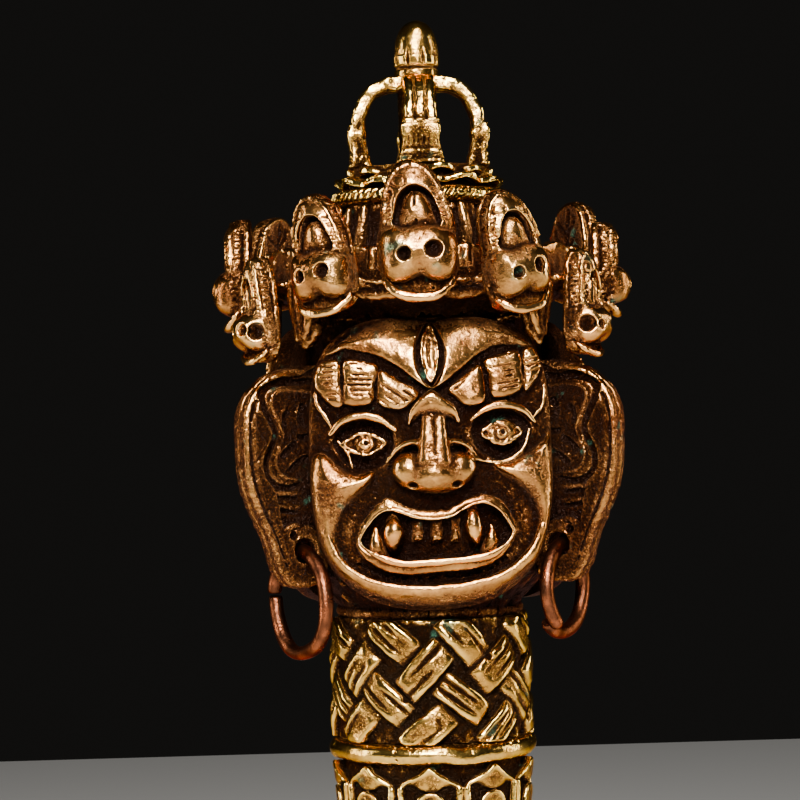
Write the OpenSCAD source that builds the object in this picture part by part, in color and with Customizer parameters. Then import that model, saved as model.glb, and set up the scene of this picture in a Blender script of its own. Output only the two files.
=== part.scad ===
// Three-faced vajra staff: a half-vajra finial, three wrathful faces under a crown of skulls,
// woven knots, a lotus grip, a sea-beast head and a three-edged blade, all on one steel rod.
// Sizes are in millimetres. Z runs up the staff and z = 0 is the middle of the grip.
// The front face looks along -Y, and the other two are turned by a third of a turn each way.

/* [Rod] */
// Diameter of the steel rod that the castings are threaded on
rod_d = 5; // [4:0.5:6]
// Radial gap between the rod and the hole in each casting
rod_gap = 0.1; // [0.05:0.05:0.2]

/* [Grip] */
// Height of the round belly in the middle of the grip
belly_h = 12; // [9:0.5:15]
// Radius of the belly at its middle
belly_r = 8.6; // [8:0.1:9.6]
// Thickness of the ring of beads above and below the belly
bead_ring_h = 2; // [1.6:0.1:2.6]

/* [Lotus] */
// Height of each lotus cup
lotus_h = 13.5; // [11:0.5:16]
// Radius of the cup where it meets the bead ring
lotus_foot_r = 7.2; // [6.6:0.1:7.8]
// Radius of the cup where it meets the rope ring
lotus_mouth_r = 9.3; // [8.8:0.1:9.6]
// Number of petals round a cup
petal_count = 9; // [7:1:11]
// How far a petal stands out of the mouth of the cup
petal_relief = 0.9; // [0.6:0.1:1.2]

/* [Knots] */
// Height of each woven knot
knot_h = 12.1; // [10:0.1:14]
// Radius over the strands of a knot
knot_r = 10.3; // [9.8:0.1:11]
// How far a strand stands out of the knot's core
strand_relief = 1; // [0.7:0.1:1.2]
// Number of strand crossings round a knot
strand_columns = 8; // [6:1:9]
// Thickness of the rope ring beside each knot
rope_ring_h = 2; // [1.6:0.1:2.4]
// Outer radius of the rope ring
rope_ring_r = 10.3; // [9.8:0.1:11]

/* [Head] */
// Height of the three-sided core behind the faces
head_core_h = 28.5; // [27.5:0.25:30]
// Distance from the staff's axis to the flat that a face is seated on
face_seat_r = 8.6; // [8.2:0.1:9.2]
// Distance from the axis to the flat that an ear is seated on
ear_seat_r = 12.2; // [11.6:0.1:12.6]
// Height of the neck under the faces
neck_h = 1; // [0.8:0.1:1.6]

// Height over which the head draws in to the neck
jaw_taper_h = 4; // [2:0.25:4.5]

/* [Faces] */
// Height of a face from chin to hairline
face_h = 28.4; // [26:0.2:28.4]
// Thickness of a face at its rim
face_rim = 2; // [1.8:0.1:2.4]
// How far a face bulges from ear to ear
face_dome = 2.8; // [2.2:0.1:3]
// How far the tip of the nose stands out of the face
nose_relief = 2.4; // [1.8:0.1:2.8]
// Distance from the middle of a face to the middle of an eye
eye_x = 6.5; // [6:0.1:7]
// Depth of the sockets round the eyes
eye_depth = 1; // [0.6:0.1:1.4]
// Width of the open mouth
mouth_w = 14.6; // [13:0.2:15.6]
// Height of the open mouth at its corners
mouth_h = 6; // [5:0.2:6.6]
// Depth of the open mouth behind the lips
mouth_depth = 1.8; // [1.2:0.1:2.4]
// How far the lips stand out of the face
lip_relief = 1.2; // [0.8:0.1:1.6]

/* [Ears] */
// Thickness of one ear
ear_t = 1.4; // [1.2:0.05:1.6]
// Open seam between the two ears that stand back to back
ear_seam = 0.1; // [0.05:0.05:0.2]
// Distance from the axis to the outer edge of the ear
ear_reach = 21.4; // [20.5:0.1:22.2]
// Length of the ear from its top to the bottom of its lobe
ear_h = 21.5; // [20:0.25:22]
// Gap between the top of an ear and the chin of the skull over it
ear_skull_gap = 0.3; // [0.2:0.1:0.6]
// Radius of the hole through the lobe
lobe_hole_r = 1.2; // [1.15:0.05:1.35]

/* [Earrings] */
// Diameter of the copper wire
wire_d = 1.4; // [1.2:0.1:1.4]
// Mean diameter of the ring on the left of the front face
ring_left_d = 10; // [9.4:0.1:10.4]
// Mean diameter of the ring on the right of the front face
ring_right_d = 8.6; // [8.4:0.1:10.4]
// Mean diameter of the ring at the back
ring_back_d = 9.2; // [8.6:0.1:10.4]
// Gap between the two cut ends of a ring
ring_gap = 0.3; // [0.2:0.1:0.8]

/* [Crown] */
// Distance from the axis to the flat behind each skull
crown_r = 17; // [16.6:0.1:17.6]
// Height of the flare from the head out to the crown
crown_flare_h = 1.5; // [1.2:0.1:2.2]
// Height of the upright band that carries the skulls
crown_band_h = 2.2; // [1.8:0.1:3]
// Turn of the crown against the faces, in degrees
crown_turn = -3; // [-4:0.5:4]
// How far a skull stands out of the crown band
skull_depth = 4; // [3.6:0.1:4.4]
// Thickness of the hood behind a skull
leaf_t = 2.4; // [1.8:0.1:2.8]
// Width of the skull over the middle of a face
big_skull_w = 7.2; // [6.6:0.1:7.4]
// Width of the skulls on either side of it
side_skull_w = 6.2; // [5.6:0.1:6.6]
// Width of the skulls over the ears
small_skull_w = 4.6; // [4.2:0.1:5]

/* [Topknot] */
// Height of the topknot inside the crown
topknot_h = 11.3; // [10.5:0.1:12.5]
// Radius of the topknot at its foot
topknot_foot_r = 10.4; // [9.6:0.1:10.8]
// Radius of the topknot at its top
topknot_top_r = 8.3; // [8:0.1:8.8]

/* [Finial] */
// Thickness of the rope round the finial
finial_rope_h = 1.4; // [1.2:0.1:1.6]
// Outer radius of the rope round the finial
finial_rope_r = 8.9; // [8.6:0.1:9.2]
// Height of the lotus disc under the prongs
disc_h = 2.4; // [2:0.1:3]
// Height of the four side prongs
prong_h = 9.1; // [8:0.1:10.5]
// Reach of the side prongs from the axis
prong_r = 7; // [6.6:0.1:7.2]
// Width of a side prong at its foot
prong_foot_w = 4.2; // [3.8:0.1:4.6]
// Width of a side prong at its top
prong_top_w = 3.1; // [2.8:0.1:3.4]
// Thickness of a side prong at its foot
prong_foot_t = 2.5; // [2.1:0.1:2.7]
// Thickness of a side prong at its top
prong_top_t = 1.5; // [1.2:0.1:1.8]
// Radius of the central prong
post_r = 2.2; // [2.2:0.1:2.5]
// Radius of the bullet on top of the central prong
bullet_r = 2.35; // [2.2:0.05:2.6]
// Height of the bullet
bullet_h = 5.6; // [4.8:0.1:6.4]

/* [Sea beast] */
// Height of the sea-beast head that holds the blade
beast_h = 21.5; // [19:0.5:24]
// Radius of the beast's skull
beast_r = 10; // [9.4:0.1:10.6]
// Reach of each snout from the axis
snout_reach = 13; // [12:0.25:14]

/* [Blade] */
// Length of the blade below the beast's jaws
blade_l = 61; // [50:1:75]
// Distance from the axis to each edge where the blade is widest
blade_edge_r = 11.5; // [10:0.25:13]
// Length from the jaws down to the widest place
blade_shoulder_l = 9; // [7:0.5:12]
// Distance from the axis to each corner of the blunt point
blade_point_r = 0.35; // [0.2:0.05:0.6]
// Length of the round tenon that goes up into the beast
tenon_l = 8; // [6:0.5:9]
// Thickness of a serpent's body
serpent_d = 1.9; // [1.5:0.1:2.2]
// Number of bends in a serpent
serpent_bends = 9; // [6:1:10]
// Gap between a serpent's flat back and the flank that it lies on
serpent_gap = 0.02; // [0.01:0.01:0.1]

/* [Hidden] */
FACES = ["front", "right", "left"];
JUNCTIONS = ["front_right", "back", "front_left"];

fine = 72;
round_fn = 40;

// Places along the staff, from the middle of the grip upwards
belly_top = belly_h / 2;
lotus_z = belly_top + bead_ring_h;
rope_z = lotus_z + lotus_h;
knot_z = rope_z + rope_ring_h;
head_z = knot_z + knot_h;
core_z = head_z + neck_h;
crown_z = core_z + head_core_h;
band_z = crown_z + crown_flare_h;
finial_z = crown_z + topknot_h;
disc_z = finial_z + finial_rope_h;
prong_z = disc_z + disc_h;
bullet_z = prong_z + prong_h;

// Places below the lower knot, which mirrors the upper one
beast_top = -head_z;
jaw_z = beast_top - beast_h;
shoulder_z = jaw_z - blade_shoulder_l;
tip_z = jaw_z - blade_l;

rod_hole_r = rod_d / 2 + rod_gap;
rod_top = core_z + head_core_h * 0.8;
rod_foot = jaw_z + tenon_l + 2;

// Seats for the rings
bead_r = bead_ring_h / 2;
bead_seat_r = lotus_foot_r - bead_r * 0.5;
ring_seat_clearance = 0.05;
rope_r = rope_ring_h / 2;
rope_seat_r = rope_ring_r - rope_ring_h - ring_seat_clearance;
finial_rope_half = finial_rope_h / 2;
finial_seat_r = finial_rope_r - finial_rope_h - ring_seat_clearance;

// Azimuths: the front face looks along -Y
face_turn = [-90, 30, 150];
junction_turn = [-30, 90, 210];

// A face is as wide as the pair of ears beside it leaves room for
ear_pair_half = ear_t + ear_seam / 2;
face_ear_gap = 0.1;
face_half_w = 2 * (face_seat_r * cos(30) - ear_pair_half - face_ear_gap);
face_foot_z = core_z + 0.05;
face_mid_z = face_foot_z + face_h / 2;
mouth_z = -face_h * 0.25;

// Crown ornaments: how far each skull's chin hangs below the band, skull height and leaf height
// for the big, side and small skulls
skull_kind = [0, 1, 2, 1];
skull_w = [big_skull_w, side_skull_w, small_skull_w];
skull_drop = [0.5, 1.7, 5.9];
skull_h = [for (w = skull_w) w * 1.06];
leaf_rise = [5.9, 5.4, 4.5];

// The ears hang under the small skulls of the crown, and a ring hangs in each pair of lobes
ear_top_z = band_z - skull_drop[2] - ear_skull_gap;
ear_foot_z = ear_top_z - ear_h;
lobe_hole_z = ear_foot_z + 3.7;
lobe_hole_x = ear_seat_r + 2.7;
wire_r = wire_d / 2;
ring_d = [ring_right_d, ring_back_d, ring_left_d];

// Half the width of a face at height z over its middle: a rounded square above, a narrower jaw below
function face_half(z, inset) =
    let (t = min(1, abs(z) / (face_h / 2 - inset)), p = z > 0 ? 3 : 2.3)
    (face_half_w - inset) * pow(1 - pow(t, p), 1 / p);

// The skin of a face is part of a large ball. A relief grows the ball, and a depth shrinks it.
face_front_r = face_seat_r + face_rim + face_dome;
ball_r = (pow(face_half_w, 2) + pow(face_dome, 2)) / (2 * face_dome);
outline_step = 0.5;
root_in = 0.05;

module ball(relief) {
    translate([0, ball_r - face_front_r, 0]) sphere(r = ball_r + relief, $fn = 120);
}

module toward_face(start) {
    rotate([90, 0, 0])
    translate([0, 0, face_seat_r + start])
    linear_extrude(face_dome + face_rim + 8) children();
}

// A flat outline, drawn on the skin and raised by a relief
module raised(relief) {
    intersection() {
        toward_face(root_in) children();
        ball(relief);
    }
}

// A flat outline, sunk into the skin by a depth
module sunk(depth) {
    difference() {
        toward_face(root_in) children();
        ball(-depth);
    }
}

module both_sides() {
    children();
    mirror([1, 0, 0]) children();
}

module face_outline(inset) {
    steps = 8;
    upper = [for (j = [0:steps]) (face_h / 2 - inset) * sin(90 * j / steps)];
    half = concat(
        [for (j = [steps:-1:1]) [face_half(-upper[j], inset), -upper[j]]],
        [for (j = [0:steps]) [face_half(upper[j], inset), upper[j]]]
    );
    left = [for (k = [len(half) - 2:-1:1]) [-half[k][0], half[k][1]]];
    polygon(concat(half, left));
}

// The open mouth, grown by g: two round corners with a straight run of teeth between them
module mouth_outline(g) {
    half = mouth_w / 2 - mouth_h / 2;
    translate([0, mouth_z]) {
        for (side = [-1, 1]) translate([side * half, 0]) circle(r = mouth_h / 2 + g, $fn = fine);
        translate([-half, -mouth_h / 2 - g]) square([2 * half, mouth_h * 0.78 + 2 * g]);
    }
}

// Forehead lobes that run down to a point between the brows
module forehead_outline() {
    intersection() {
        face_outline(outline_step);
        difference() {
            translate([-face_half_w, face_h * 0.16]) square([2 * face_half_w, face_h * 0.34]);
            both_sides() translate([8.4, 2.6]) circle(r = 8.3, $fn = fine);
        }
    }
}

// A crescent down each cheek and one under the lower lip
module cheek_outline() {
    intersection() {
        face_outline(outline_step);
        difference() {
            translate([-face_half_w, -face_h / 2]) square([2 * face_half_w, face_h * 0.5 + 0.6]);
            translate([0, -2.6]) circle(r = 9.8, $fn = fine);
        }
    }
}

// Tufts of a brow: strips of hair in three blocks that step down to the nose
module brow_outline() {
    for (tuft = [[3.3, 7.2, 3, 32], [6.9, 8.1, 2.9, 8], [10, 7.6, 2.1, -10]])
        translate([tuft[0], tuft[1]])
        rotate(tuft[3])
        for (k = [-1:1])
            translate([-tuft[2] / 2, k * 1.3 - 0.5]) square([tuft[2], 1]);
}

module lens_outline(half_w, half_h) {
    lens_r = (pow(half_w, 2) + pow(half_h, 2)) / (2 * half_w);
    intersection() {
        translate([lens_r - half_w, 0]) circle(r = lens_r, $fn = fine);
        translate([half_w - lens_r, 0]) circle(r = lens_r, $fn = fine);
    }
}

module eye_outline(g) {
    translate([eye_x, 2.1]) rotate(90) lens_outline(2.1 + g, 3.1 + g);
}

module teeth_outline() {
    for (k = [-1.5:1:1.5])
        translate([k * 1.5 - 0.6, mouth_z + 0.2]) square([1.2, mouth_h * 0.4]);
}

module fang_outline() {
    translate([4, mouth_z + 0.2]) lens_outline(0.8, mouth_h * 0.36);
    translate([5.8, mouth_z - 0.9]) lens_outline(0.75, mouth_h * 0.3);
}

module nose() {
    tip_r = 2;
    root_z = 2.6;
    translate([0, -face_front_r - nose_relief + tip_r, -1.7]) sphere(r = tip_r, $fn = round_fn);
    both_sides()
    translate([2.7, -face_front_r - nose_relief * 0.35 + 1, -1.1]) sphere(r = 1.6, $fn = round_fn);
    translate([0, -face_front_r, root_z + 3]) sphere(r = 2, $fn = round_fn);
    translate([0, -face_front_r + 0.2, root_z])
    rotate([atan(nose_relief * 0.55 / (root_z + 1.7)), 0, 0])
    translate([0, 0, -4.3])
    cylinder(h = 5, r = 1.1, $fn = round_fn);
}

module face_mask() {
    color("peru")
    translate([0, 0, face_mid_z])
    union() {
        difference() {
            union() {
                intersection() {
                    toward_face(0) face_outline(0);
                    ball(0);
                }
                raised(0.6) forehead_outline();
                raised(0.7) cheek_outline();
                raised(1) both_sides() brow_outline();
                raised(0.8) both_sides() eye_outline(0.8);
                raised(lip_relief) mouth_outline(0.8);
                nose();
            }
            sunk(eye_depth) both_sides() eye_outline(0);
            sunk(mouth_depth) mouth_outline(0);
            sunk(0.3) translate([0, 10]) lens_outline(1.5, 3.7);
        }
        raised(0.5) translate([0, 10]) lens_outline(0.8, 2.9);
        raised(-0.2) teeth_outline();
        raised(0.4) both_sides() fang_outline();
        both_sides()
        translate([eye_x, -face_front_r + face_dome * 0.25 + 1.5, 2.1]) sphere(r = 1.5, $fn = round_fn);
    }
}

module at_face(index) {
    rotate([0, 0, face_turn[index] + 90]) children();
}

module rod() {
    color("gray")
    translate([0, 0, rod_foot])
    cylinder(h = rod_top - rod_foot, d = rod_d, $fn = round_fn);
}

module rod_hole() {
    translate([0, 0, jaw_z])
    cylinder(h = rod_top - jaw_z, r = rod_hole_r, $fn = round_fn);
}

module grip_belly() {
    curve_r = (pow(belly_h / 2, 2) + pow(belly_r - bead_seat_r, 2)) / (2 * (belly_r - bead_seat_r));
    color("goldenrod")
    difference() {
        union() {
            intersection() {
                rotate_extrude($fn = fine)
                intersection() {
                    translate([belly_r - curve_r, 0]) circle(r = curve_r, $fn = fine);
                    translate([0, -belly_h / 2]) square([belly_r, belly_h]);
                }
                cylinder(h = belly_h, r = belly_r, center = true, $fn = fine);
            }
            cylinder(h = 2 * lotus_z, r = bead_seat_r - ring_seat_clearance - bead_r, center = true, $fn = fine);
        }
        rod_hole();
    }
}

module ring(outer_r, thick) {
    rotate_extrude($fn = fine)
    translate([outer_r - thick / 2, 0])
    circle(d = thick, $fn = 24);
}

module bead_ring(side) {
    color("goldenrod")
    translate([0, 0, side * (belly_top + bead_r)])
    ring(bead_seat_r + bead_r, bead_ring_h);
}

module rope_ring(side) {
    color("goldenrod")
    translate([0, 0, side * (rope_z + rope_r)])
    ring(rope_ring_r, rope_ring_h);
}

// A petal is a pointed arch with a round jewel under its tip
module petal() {
    front_r = lotus_mouth_r + petal_relief;
    root_r = lotus_foot_r - 1;
    half_w = front_r * tan(180 / petal_count) * 0.86;
    foot = lotus_h * 0.12;
    spring = lotus_h * 0.58;
    tip = lotus_h * 0.92;
    arch = [for (a = [0:18:72]) [half_w * cos(a), spring + (tip - spring) * 0.86 * sin(a)]];
    translate([root_r, 0, 0])
    rotate([90, 0, 90])
    linear_extrude(front_r - root_r)
    polygon(concat(
        [[-half_w * 0.7, foot], [half_w * 0.7, foot]],
        arch,
        [[0, tip]],
        [for (k = [len(arch) - 1:-1:0]) [-arch[k][0], arch[k][1]]]
    ));
    translate([front_r - 0.8, 0, lotus_h * 0.45])
    sphere(r = 1.7, $fn = round_fn);
}

module lotus() {
    color("goldenrod")
    difference() {
        union() {
            translate([0, 0, lotus_z])
            cylinder(h = lotus_h, r1 = lotus_foot_r, r2 = lotus_mouth_r, $fn = fine);
            translate([0, 0, rope_z])
            cylinder(h = rope_ring_h, r = rope_seat_r, $fn = fine);
            for (k = [0:petal_count - 1])
                rotate([0, 0, -90 + k * 360 / petal_count])
                translate([0, 0, lotus_z])
                petal();
        }
        rod_hole();
    }
}

// One visible stretch of a woven strand: three ridges side by side, cut to the knot's radius
module strand_pad(lean) {
    pad_l = knot_h * 0.5;
    ridge_w = knot_h * 0.07;
    rotate([lean, 0, 0])
    for (side = [-1, 0, 1])
        translate([knot_r / 2 + 2, 0, side * ridge_w * 1.28])
        cube([knot_r, pad_l, ridge_w], center = true);
}

module knot() {
    core_r = knot_r - strand_relief;
    rows = 5;
    pitch = knot_h / rows;
    color("goldenrod")
    translate([0, 0, knot_z])
    difference() {
        union() {
            cylinder(h = knot_h, r = core_r, $fn = fine);
            intersection() {
                cylinder(h = knot_h, r = knot_r, $fn = fine);
                for (j = [0:rows - 1], k = [0:strand_columns - 1])
                    rotate([0, 0, -96 + (k + (j % 2) / 2) * 360 / strand_columns])
                    translate([0, 0, (j + 0.5) * pitch])
                    strand_pad(j % 2 == 0 ? -45 : 45);
            }
        }
        translate([0, 0, -knot_z]) rod_hole();
    }
}

// The core has a flat for each face and a narrower one for each pair of ears
module head_core() {
    color("saddlebrown")
    difference() {
        union() {
            translate([0, 0, head_z])
            cylinder(h = neck_h, r = lotus_mouth_r, $fn = fine);
            translate([0, 0, core_z])
            intersection() {
                rotate([0, 0, 90]) cylinder(h = head_core_h, r = face_seat_r * 2, $fn = 3);
                rotate([0, 0, 30]) cylinder(h = head_core_h, r = ear_seat_r * 2, $fn = 3);
                union() {
                    cylinder(h = jaw_taper_h, r1 = lotus_mouth_r, r2 = ear_seat_r + 0.6, $fn = fine);
                    translate([0, 0, jaw_taper_h])
                    cylinder(h = head_core_h - jaw_taper_h, r = ear_seat_r + 0.6, $fn = fine);
                }
            }
        }
        rod_hole();
    }
}

// Outline of an ear in the plane of the axis, from its inner edge outwards
module ear_outline() {
    inner = ear_seat_r;
    outer = ear_reach;
    lobe = lobe_hole_x;
    span = ear_top_z - ear_foot_z;
    polygon([
        [inner, ear_foot_z + 2.8], [lobe - 1.9, ear_foot_z + 0.8], [lobe - 0.4, ear_foot_z],
        [lobe + 1.6, ear_foot_z + 0.4], [lobe + 3, ear_foot_z + 2.2],
        [lobe + 3.7, ear_foot_z + span * 0.19], [outer - 1.7, ear_foot_z + span * 0.31],
        [outer - 0.5, ear_foot_z + span * 0.45], [outer, ear_foot_z + span * 0.62],
        [outer - 0.1, ear_foot_z + span * 0.9], [outer - 1.8, ear_top_z - 0.4],
        [inner + 3, ear_top_z], [inner, ear_top_z - 0.4]
    ]);
}

// A raised rim along the outer edge of the ear, and a scroll inside it
module ear_relief() {
    relief = 0.5;
    scroll_x = ear_seat_r + 4.2;
    linear_extrude(ear_t)
    intersection() {
        ear_outline();
        union() {
            translate([scroll_x, ear_top_z - 5.6]) circle(r = 3, $fn = round_fn);
            translate([scroll_x + 0.3, ear_top_z - 10.4]) circle(r = 2.5, $fn = round_fn);
        }
    }
    linear_extrude(ear_t)
    difference() {
        ear_outline();
        translate([-1.3, 0.2]) ear_outline();
        translate([0, ear_foot_z - 1]) square([ear_reach + 1, 6]);
    }
    linear_extrude(ear_t - relief) ear_outline();
}

// side +1 is the ear turned the way that azimuth grows, and -1 the other of the pair
module ear(junction, side) {
    color("sienna")
    rotate([0, 0, junction_turn[junction]])
    mirror([0, side < 0 ? 1 : 0, 0])
    translate([0, ear_seam / 2, 0])
    rotate([90, 0, 0])
    mirror([0, 0, 1])
    difference() {
        ear_relief();
        translate([lobe_hole_x, lobe_hole_z, -1])
        cylinder(h = ear_t + 2, r = lobe_hole_r, $fn = round_fn);
    }
}

// A ring of wire through both lobes, with a butt joint low on its front side
module earring(junction) {
    mean_r = ring_d[junction] / 2;
    gap_turn = ring_gap / mean_r * 180 / PI;
    color("chocolate")
    rotate([0, 0, junction_turn[junction]])
    translate([lobe_hole_x, 0, lobe_hole_z - mean_r])
    rotate([0, 90, 0])
    rotate([0, 0, 60])
    rotate_extrude(angle = 360 - gap_turn, $fn = fine)
    translate([mean_r, 0])
    circle(d = wire_d, $fn = 24);
}

module crown_band() {
    hole_r = topknot_foot_r + ring_seat_clearance;
    color("sienna")
    rotate([0, 0, crown_turn])
    difference() {
        union() {
            translate([0, 0, crown_z])
            cylinder(h = crown_flare_h, r1 = ear_seat_r + 1.2, r2 = crown_r, $fn = fine);
            translate([0, 0, band_z])
            rotate([0, 0, 15])
            cylinder(h = crown_band_h, r = crown_r / cos(15), $fn = 12);
        }
        translate([0, 0, crown_z - 1])
        cylinder(h = crown_flare_h + crown_band_h + 2, r = hole_r, $fn = fine);
    }
}

// Outline of the hood behind a skull, from its foot up to a round top
module hood_outline(w, h, g) {
    top_r = w * 0.3 + g;
    half = w / 2 + g;
    translate([0, h - w * 0.3]) circle(r = top_r, $fn = round_fn);
    polygon([[-half * 0.86, 0], [half * 0.86, 0], [half, h * 0.3], [half * 0.9, h * 0.62],
             [top_r, h - w * 0.3], [-top_r, h - w * 0.3], [-half * 0.9, h * 0.62], [-half, h * 0.3]]);
}

// A skull with round sockets, a split muzzle and a thin lower jaw, under a hood. Its back is flat.
module skull(place) {
    kind = skull_kind[place % 4];
    w = skull_w[kind];
    h = skull_h[kind];
    chin_z = band_z - skull_drop[kind];
    hood_h = h * 0.75 + leaf_rise[kind];
    front = crown_r + skull_depth;
    brow_z = chin_z + h * 0.62;
    muzzle_r = w * 0.28;
    color("peru")
    rotate([0, 0, face_turn[0] + crown_turn + place * 30])
    difference() {
        union() {
            translate([crown_r, 0, chin_z + h * 0.25])
            rotate([90, 0, 90])
            linear_extrude(leaf_t) hood_outline(w, hood_h, 0);
            translate([crown_r, 0, brow_z - h * 0.1])
            rotate([0, 90, 0])
            cylinder(h = skull_depth - w * 0.22, r = w * 0.48, $fn = round_fn);
            translate([front - w * 0.48, 0, brow_z]) sphere(r = w * 0.48, $fn = round_fn);
            for (side = [-1, 1])
                translate([front - muzzle_r, side * w * 0.22, chin_z + h * 0.42])
                sphere(r = muzzle_r, $fn = round_fn);
            translate([crown_r, 0, chin_z + w * 0.46])
            rotate([90, 0, 90])
            linear_extrude(skull_depth * 0.75)
            difference() {
                circle(r = w * 0.46, $fn = round_fn);
                translate([0, w * 0.12]) circle(r = w * 0.46, $fn = round_fn);
            }
        }
        translate([crown_r - w, -w, chin_z - 1]) cube([w, 2 * w, hood_h + 2 * h]);
        for (side = [-1, 1])
            translate([front - w * 0.2, side * w * 0.19, brow_z - h * 0.03])
            rotate([0, 90, 0])
            cylinder(h = w * 0.3, r = w * 0.1, $fn = 24);
        translate([crown_r + leaf_t - 0.6, 0, brow_z + h * 0.42])
        rotate([90, 0, 90])
        linear_extrude(2)
        difference() {
            hood_outline(w * 0.62, leaf_rise[kind] - w * 0.16, 0);
            translate([0, -1]) hood_outline(w * 0.34, leaf_rise[kind] - w * 0.16, 0);
        }
    }
}

module topknot() {
    flutes = 18;
    color("saddlebrown")
    difference() {
        translate([0, 0, crown_z])
        cylinder(h = topknot_h, r1 = topknot_foot_r, r2 = topknot_top_r, $fn = fine);
        for (k = [0:flutes - 1])
            rotate([0, 0, (k + 0.5) * 360 / flutes])
            translate([topknot_top_r + 0.5, 0, finial_z - topknot_h * 0.3])
            cylinder(h = topknot_h, r = 0.8, $fn = 16);
    }
}

module finial_rope() {
    color("gold")
    translate([0, 0, finial_z + finial_rope_half])
    ring(finial_rope_r, finial_rope_h);
}

module finial_disc() {
    leaves = 12;
    rim_r = finial_rope_r - 0.5;
    color("gold")
    union() {
        translate([0, 0, finial_z])
        cylinder(h = finial_rope_h, r = finial_seat_r, $fn = fine);
        translate([0, 0, disc_z])
        cylinder(h = disc_h, r1 = rim_r, r2 = prong_r + 0.1, $fn = fine);
        for (k = [0:leaves - 1])
            rotate([0, 0, (k + 0.5) * 360 / leaves])
            translate([rim_r - 1.6, 0, disc_z])
            cylinder(h = disc_h * 0.4, r = 1.9, $fn = 24);
    }
}

module finial_post() {
    color("gold")
    translate([0, 0, prong_z])
    union() {
        cylinder(h = prong_h, r = post_r, $fn = round_fn);
        translate([0, 0, prong_h]) cylinder(h = bullet_h - bullet_r, r = bullet_r, $fn = round_fn);
        translate([0, 0, prong_h + bullet_h - bullet_r]) sphere(r = bullet_r, $fn = round_fn);
    }
}

// Side view of a prong: an upright foot that arches in to the central prong
module prong_profile() {
    spring = prong_h * 0.5;
    steps = [0:15:90];
    outer = [for (a = steps) [post_r + (prong_r - post_r) * cos(a), spring + (prong_h - spring) * sin(a)]];
    inner_r = prong_r - prong_foot_t * 0.8;
    inner = [
        for (a = steps)
            [post_r + (inner_r - post_r) * cos(a), spring + (prong_h - prong_top_t - spring) * sin(a)]
    ];
    polygon(concat(
        [[prong_r - prong_foot_t, 0], [prong_r - 0.2, 0], [prong_r + 0.1, prong_h * 0.12],
         [prong_r + 0.1, prong_h * 0.3]],
        outer,
        [for (k = [len(inner) - 1:-1:0]) inner[k]]
    ));
}

module prong(turn) {
    color("gold")
    rotate([0, 0, turn])
    translate([0, 0, prong_z])
    rotate([90, 0, 0])
    union() {
        linear_extrude(prong_top_w, center = true) prong_profile();
        linear_extrude(prong_foot_w, center = true)
        intersection() {
            prong_profile();
            square([prong_r * 2, prong_h * 0.45]);
        }
    }
}

// Three long-snouted heads in one casting, with curled trunks and the blade's socket below
module beast_head() {
    eye_z = beast_top - beast_h * 0.3;
    snout_l = snout_reach - beast_r * 0.3;
    snout_tilt = 128;
    curl_r = beast_h * 0.1;
    color("sienna")
    difference() {
        union() {
            translate([0, 0, beast_top - beast_r * 0.55])
            intersection() {
                sphere(r = beast_r, $fn = fine);
                translate([0, 0, -beast_r]) cylinder(h = beast_r * 1.55, r = beast_r + 1, $fn = fine);
            }
            translate([0, 0, jaw_z])
            cylinder(h = beast_h * 0.7, r1 = beast_r * 0.62, r2 = beast_r * 0.86, $fn = fine);
            for (k = [0:2])
                rotate([0, 0, face_turn[k]]) {
                    translate([beast_r * 0.3, 0, eye_z])
                    rotate([0, snout_tilt, 0])
                    cylinder(h = snout_l, r1 = beast_r * 0.5, r2 = beast_r * 0.24, $fn = round_fn);
                    translate([beast_r * 0.3, 0, eye_z])
                    rotate([0, snout_tilt, 0])
                    translate([-curl_r * 1.1, 0, snout_l])
                    rotate([90, 0, 0])
                    rotate_extrude($fn = round_fn)
                    translate([curl_r, 0])
                    circle(r = curl_r * 0.6, $fn = 24);
                    translate([beast_r * 0.3, 0, eye_z - beast_h * 0.24])
                    rotate([0, snout_tilt + 14, 0])
                    cylinder(h = snout_l * 0.72, r1 = beast_r * 0.36, r2 = beast_r * 0.14, $fn = round_fn);
                    for (side = [-1, 1]) {
                        translate([beast_r * 0.84, side * beast_r * 0.36, eye_z + 0.6])
                        sphere(r = beast_r * 0.2, $fn = 24);
                        translate([beast_r * 0.62, side * beast_r * 0.5, eye_z + 1.4])
                        rotate([side * -38, -12, 0])
                        cylinder(h = beast_h * 0.22, r1 = beast_r * 0.18, r2 = 0.3, $fn = 24);
                    }
                }
        }
        rod_hole();
        translate([0, 0, jaw_z - 1])
        cylinder(h = tenon_l + 1 + rod_gap, r = blade_tenon_r + rod_gap, $fn = round_fn);
        translate([0, 0, jaw_z - beast_h])
        cylinder(h = beast_h, r = beast_r * 2, $fn = round_fn);
        translate([0, 0, beast_top])
        cylinder(h = beast_h, r = beast_r * 2, $fn = round_fn);
    }
}
blade_tenon_r = rod_d / 2 + 1;

// Distance from the axis to the blade's edges at height z
function blade_edge(z) =
    z > shoulder_z
        ? blade_edge_r * (0.8 + 0.2 * sin(90 * (jaw_z - z) / blade_shoulder_l))
        : blade_point_r + (blade_edge_r - blade_point_r) * (z - tip_z) / (shoulder_z - tip_z);

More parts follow.
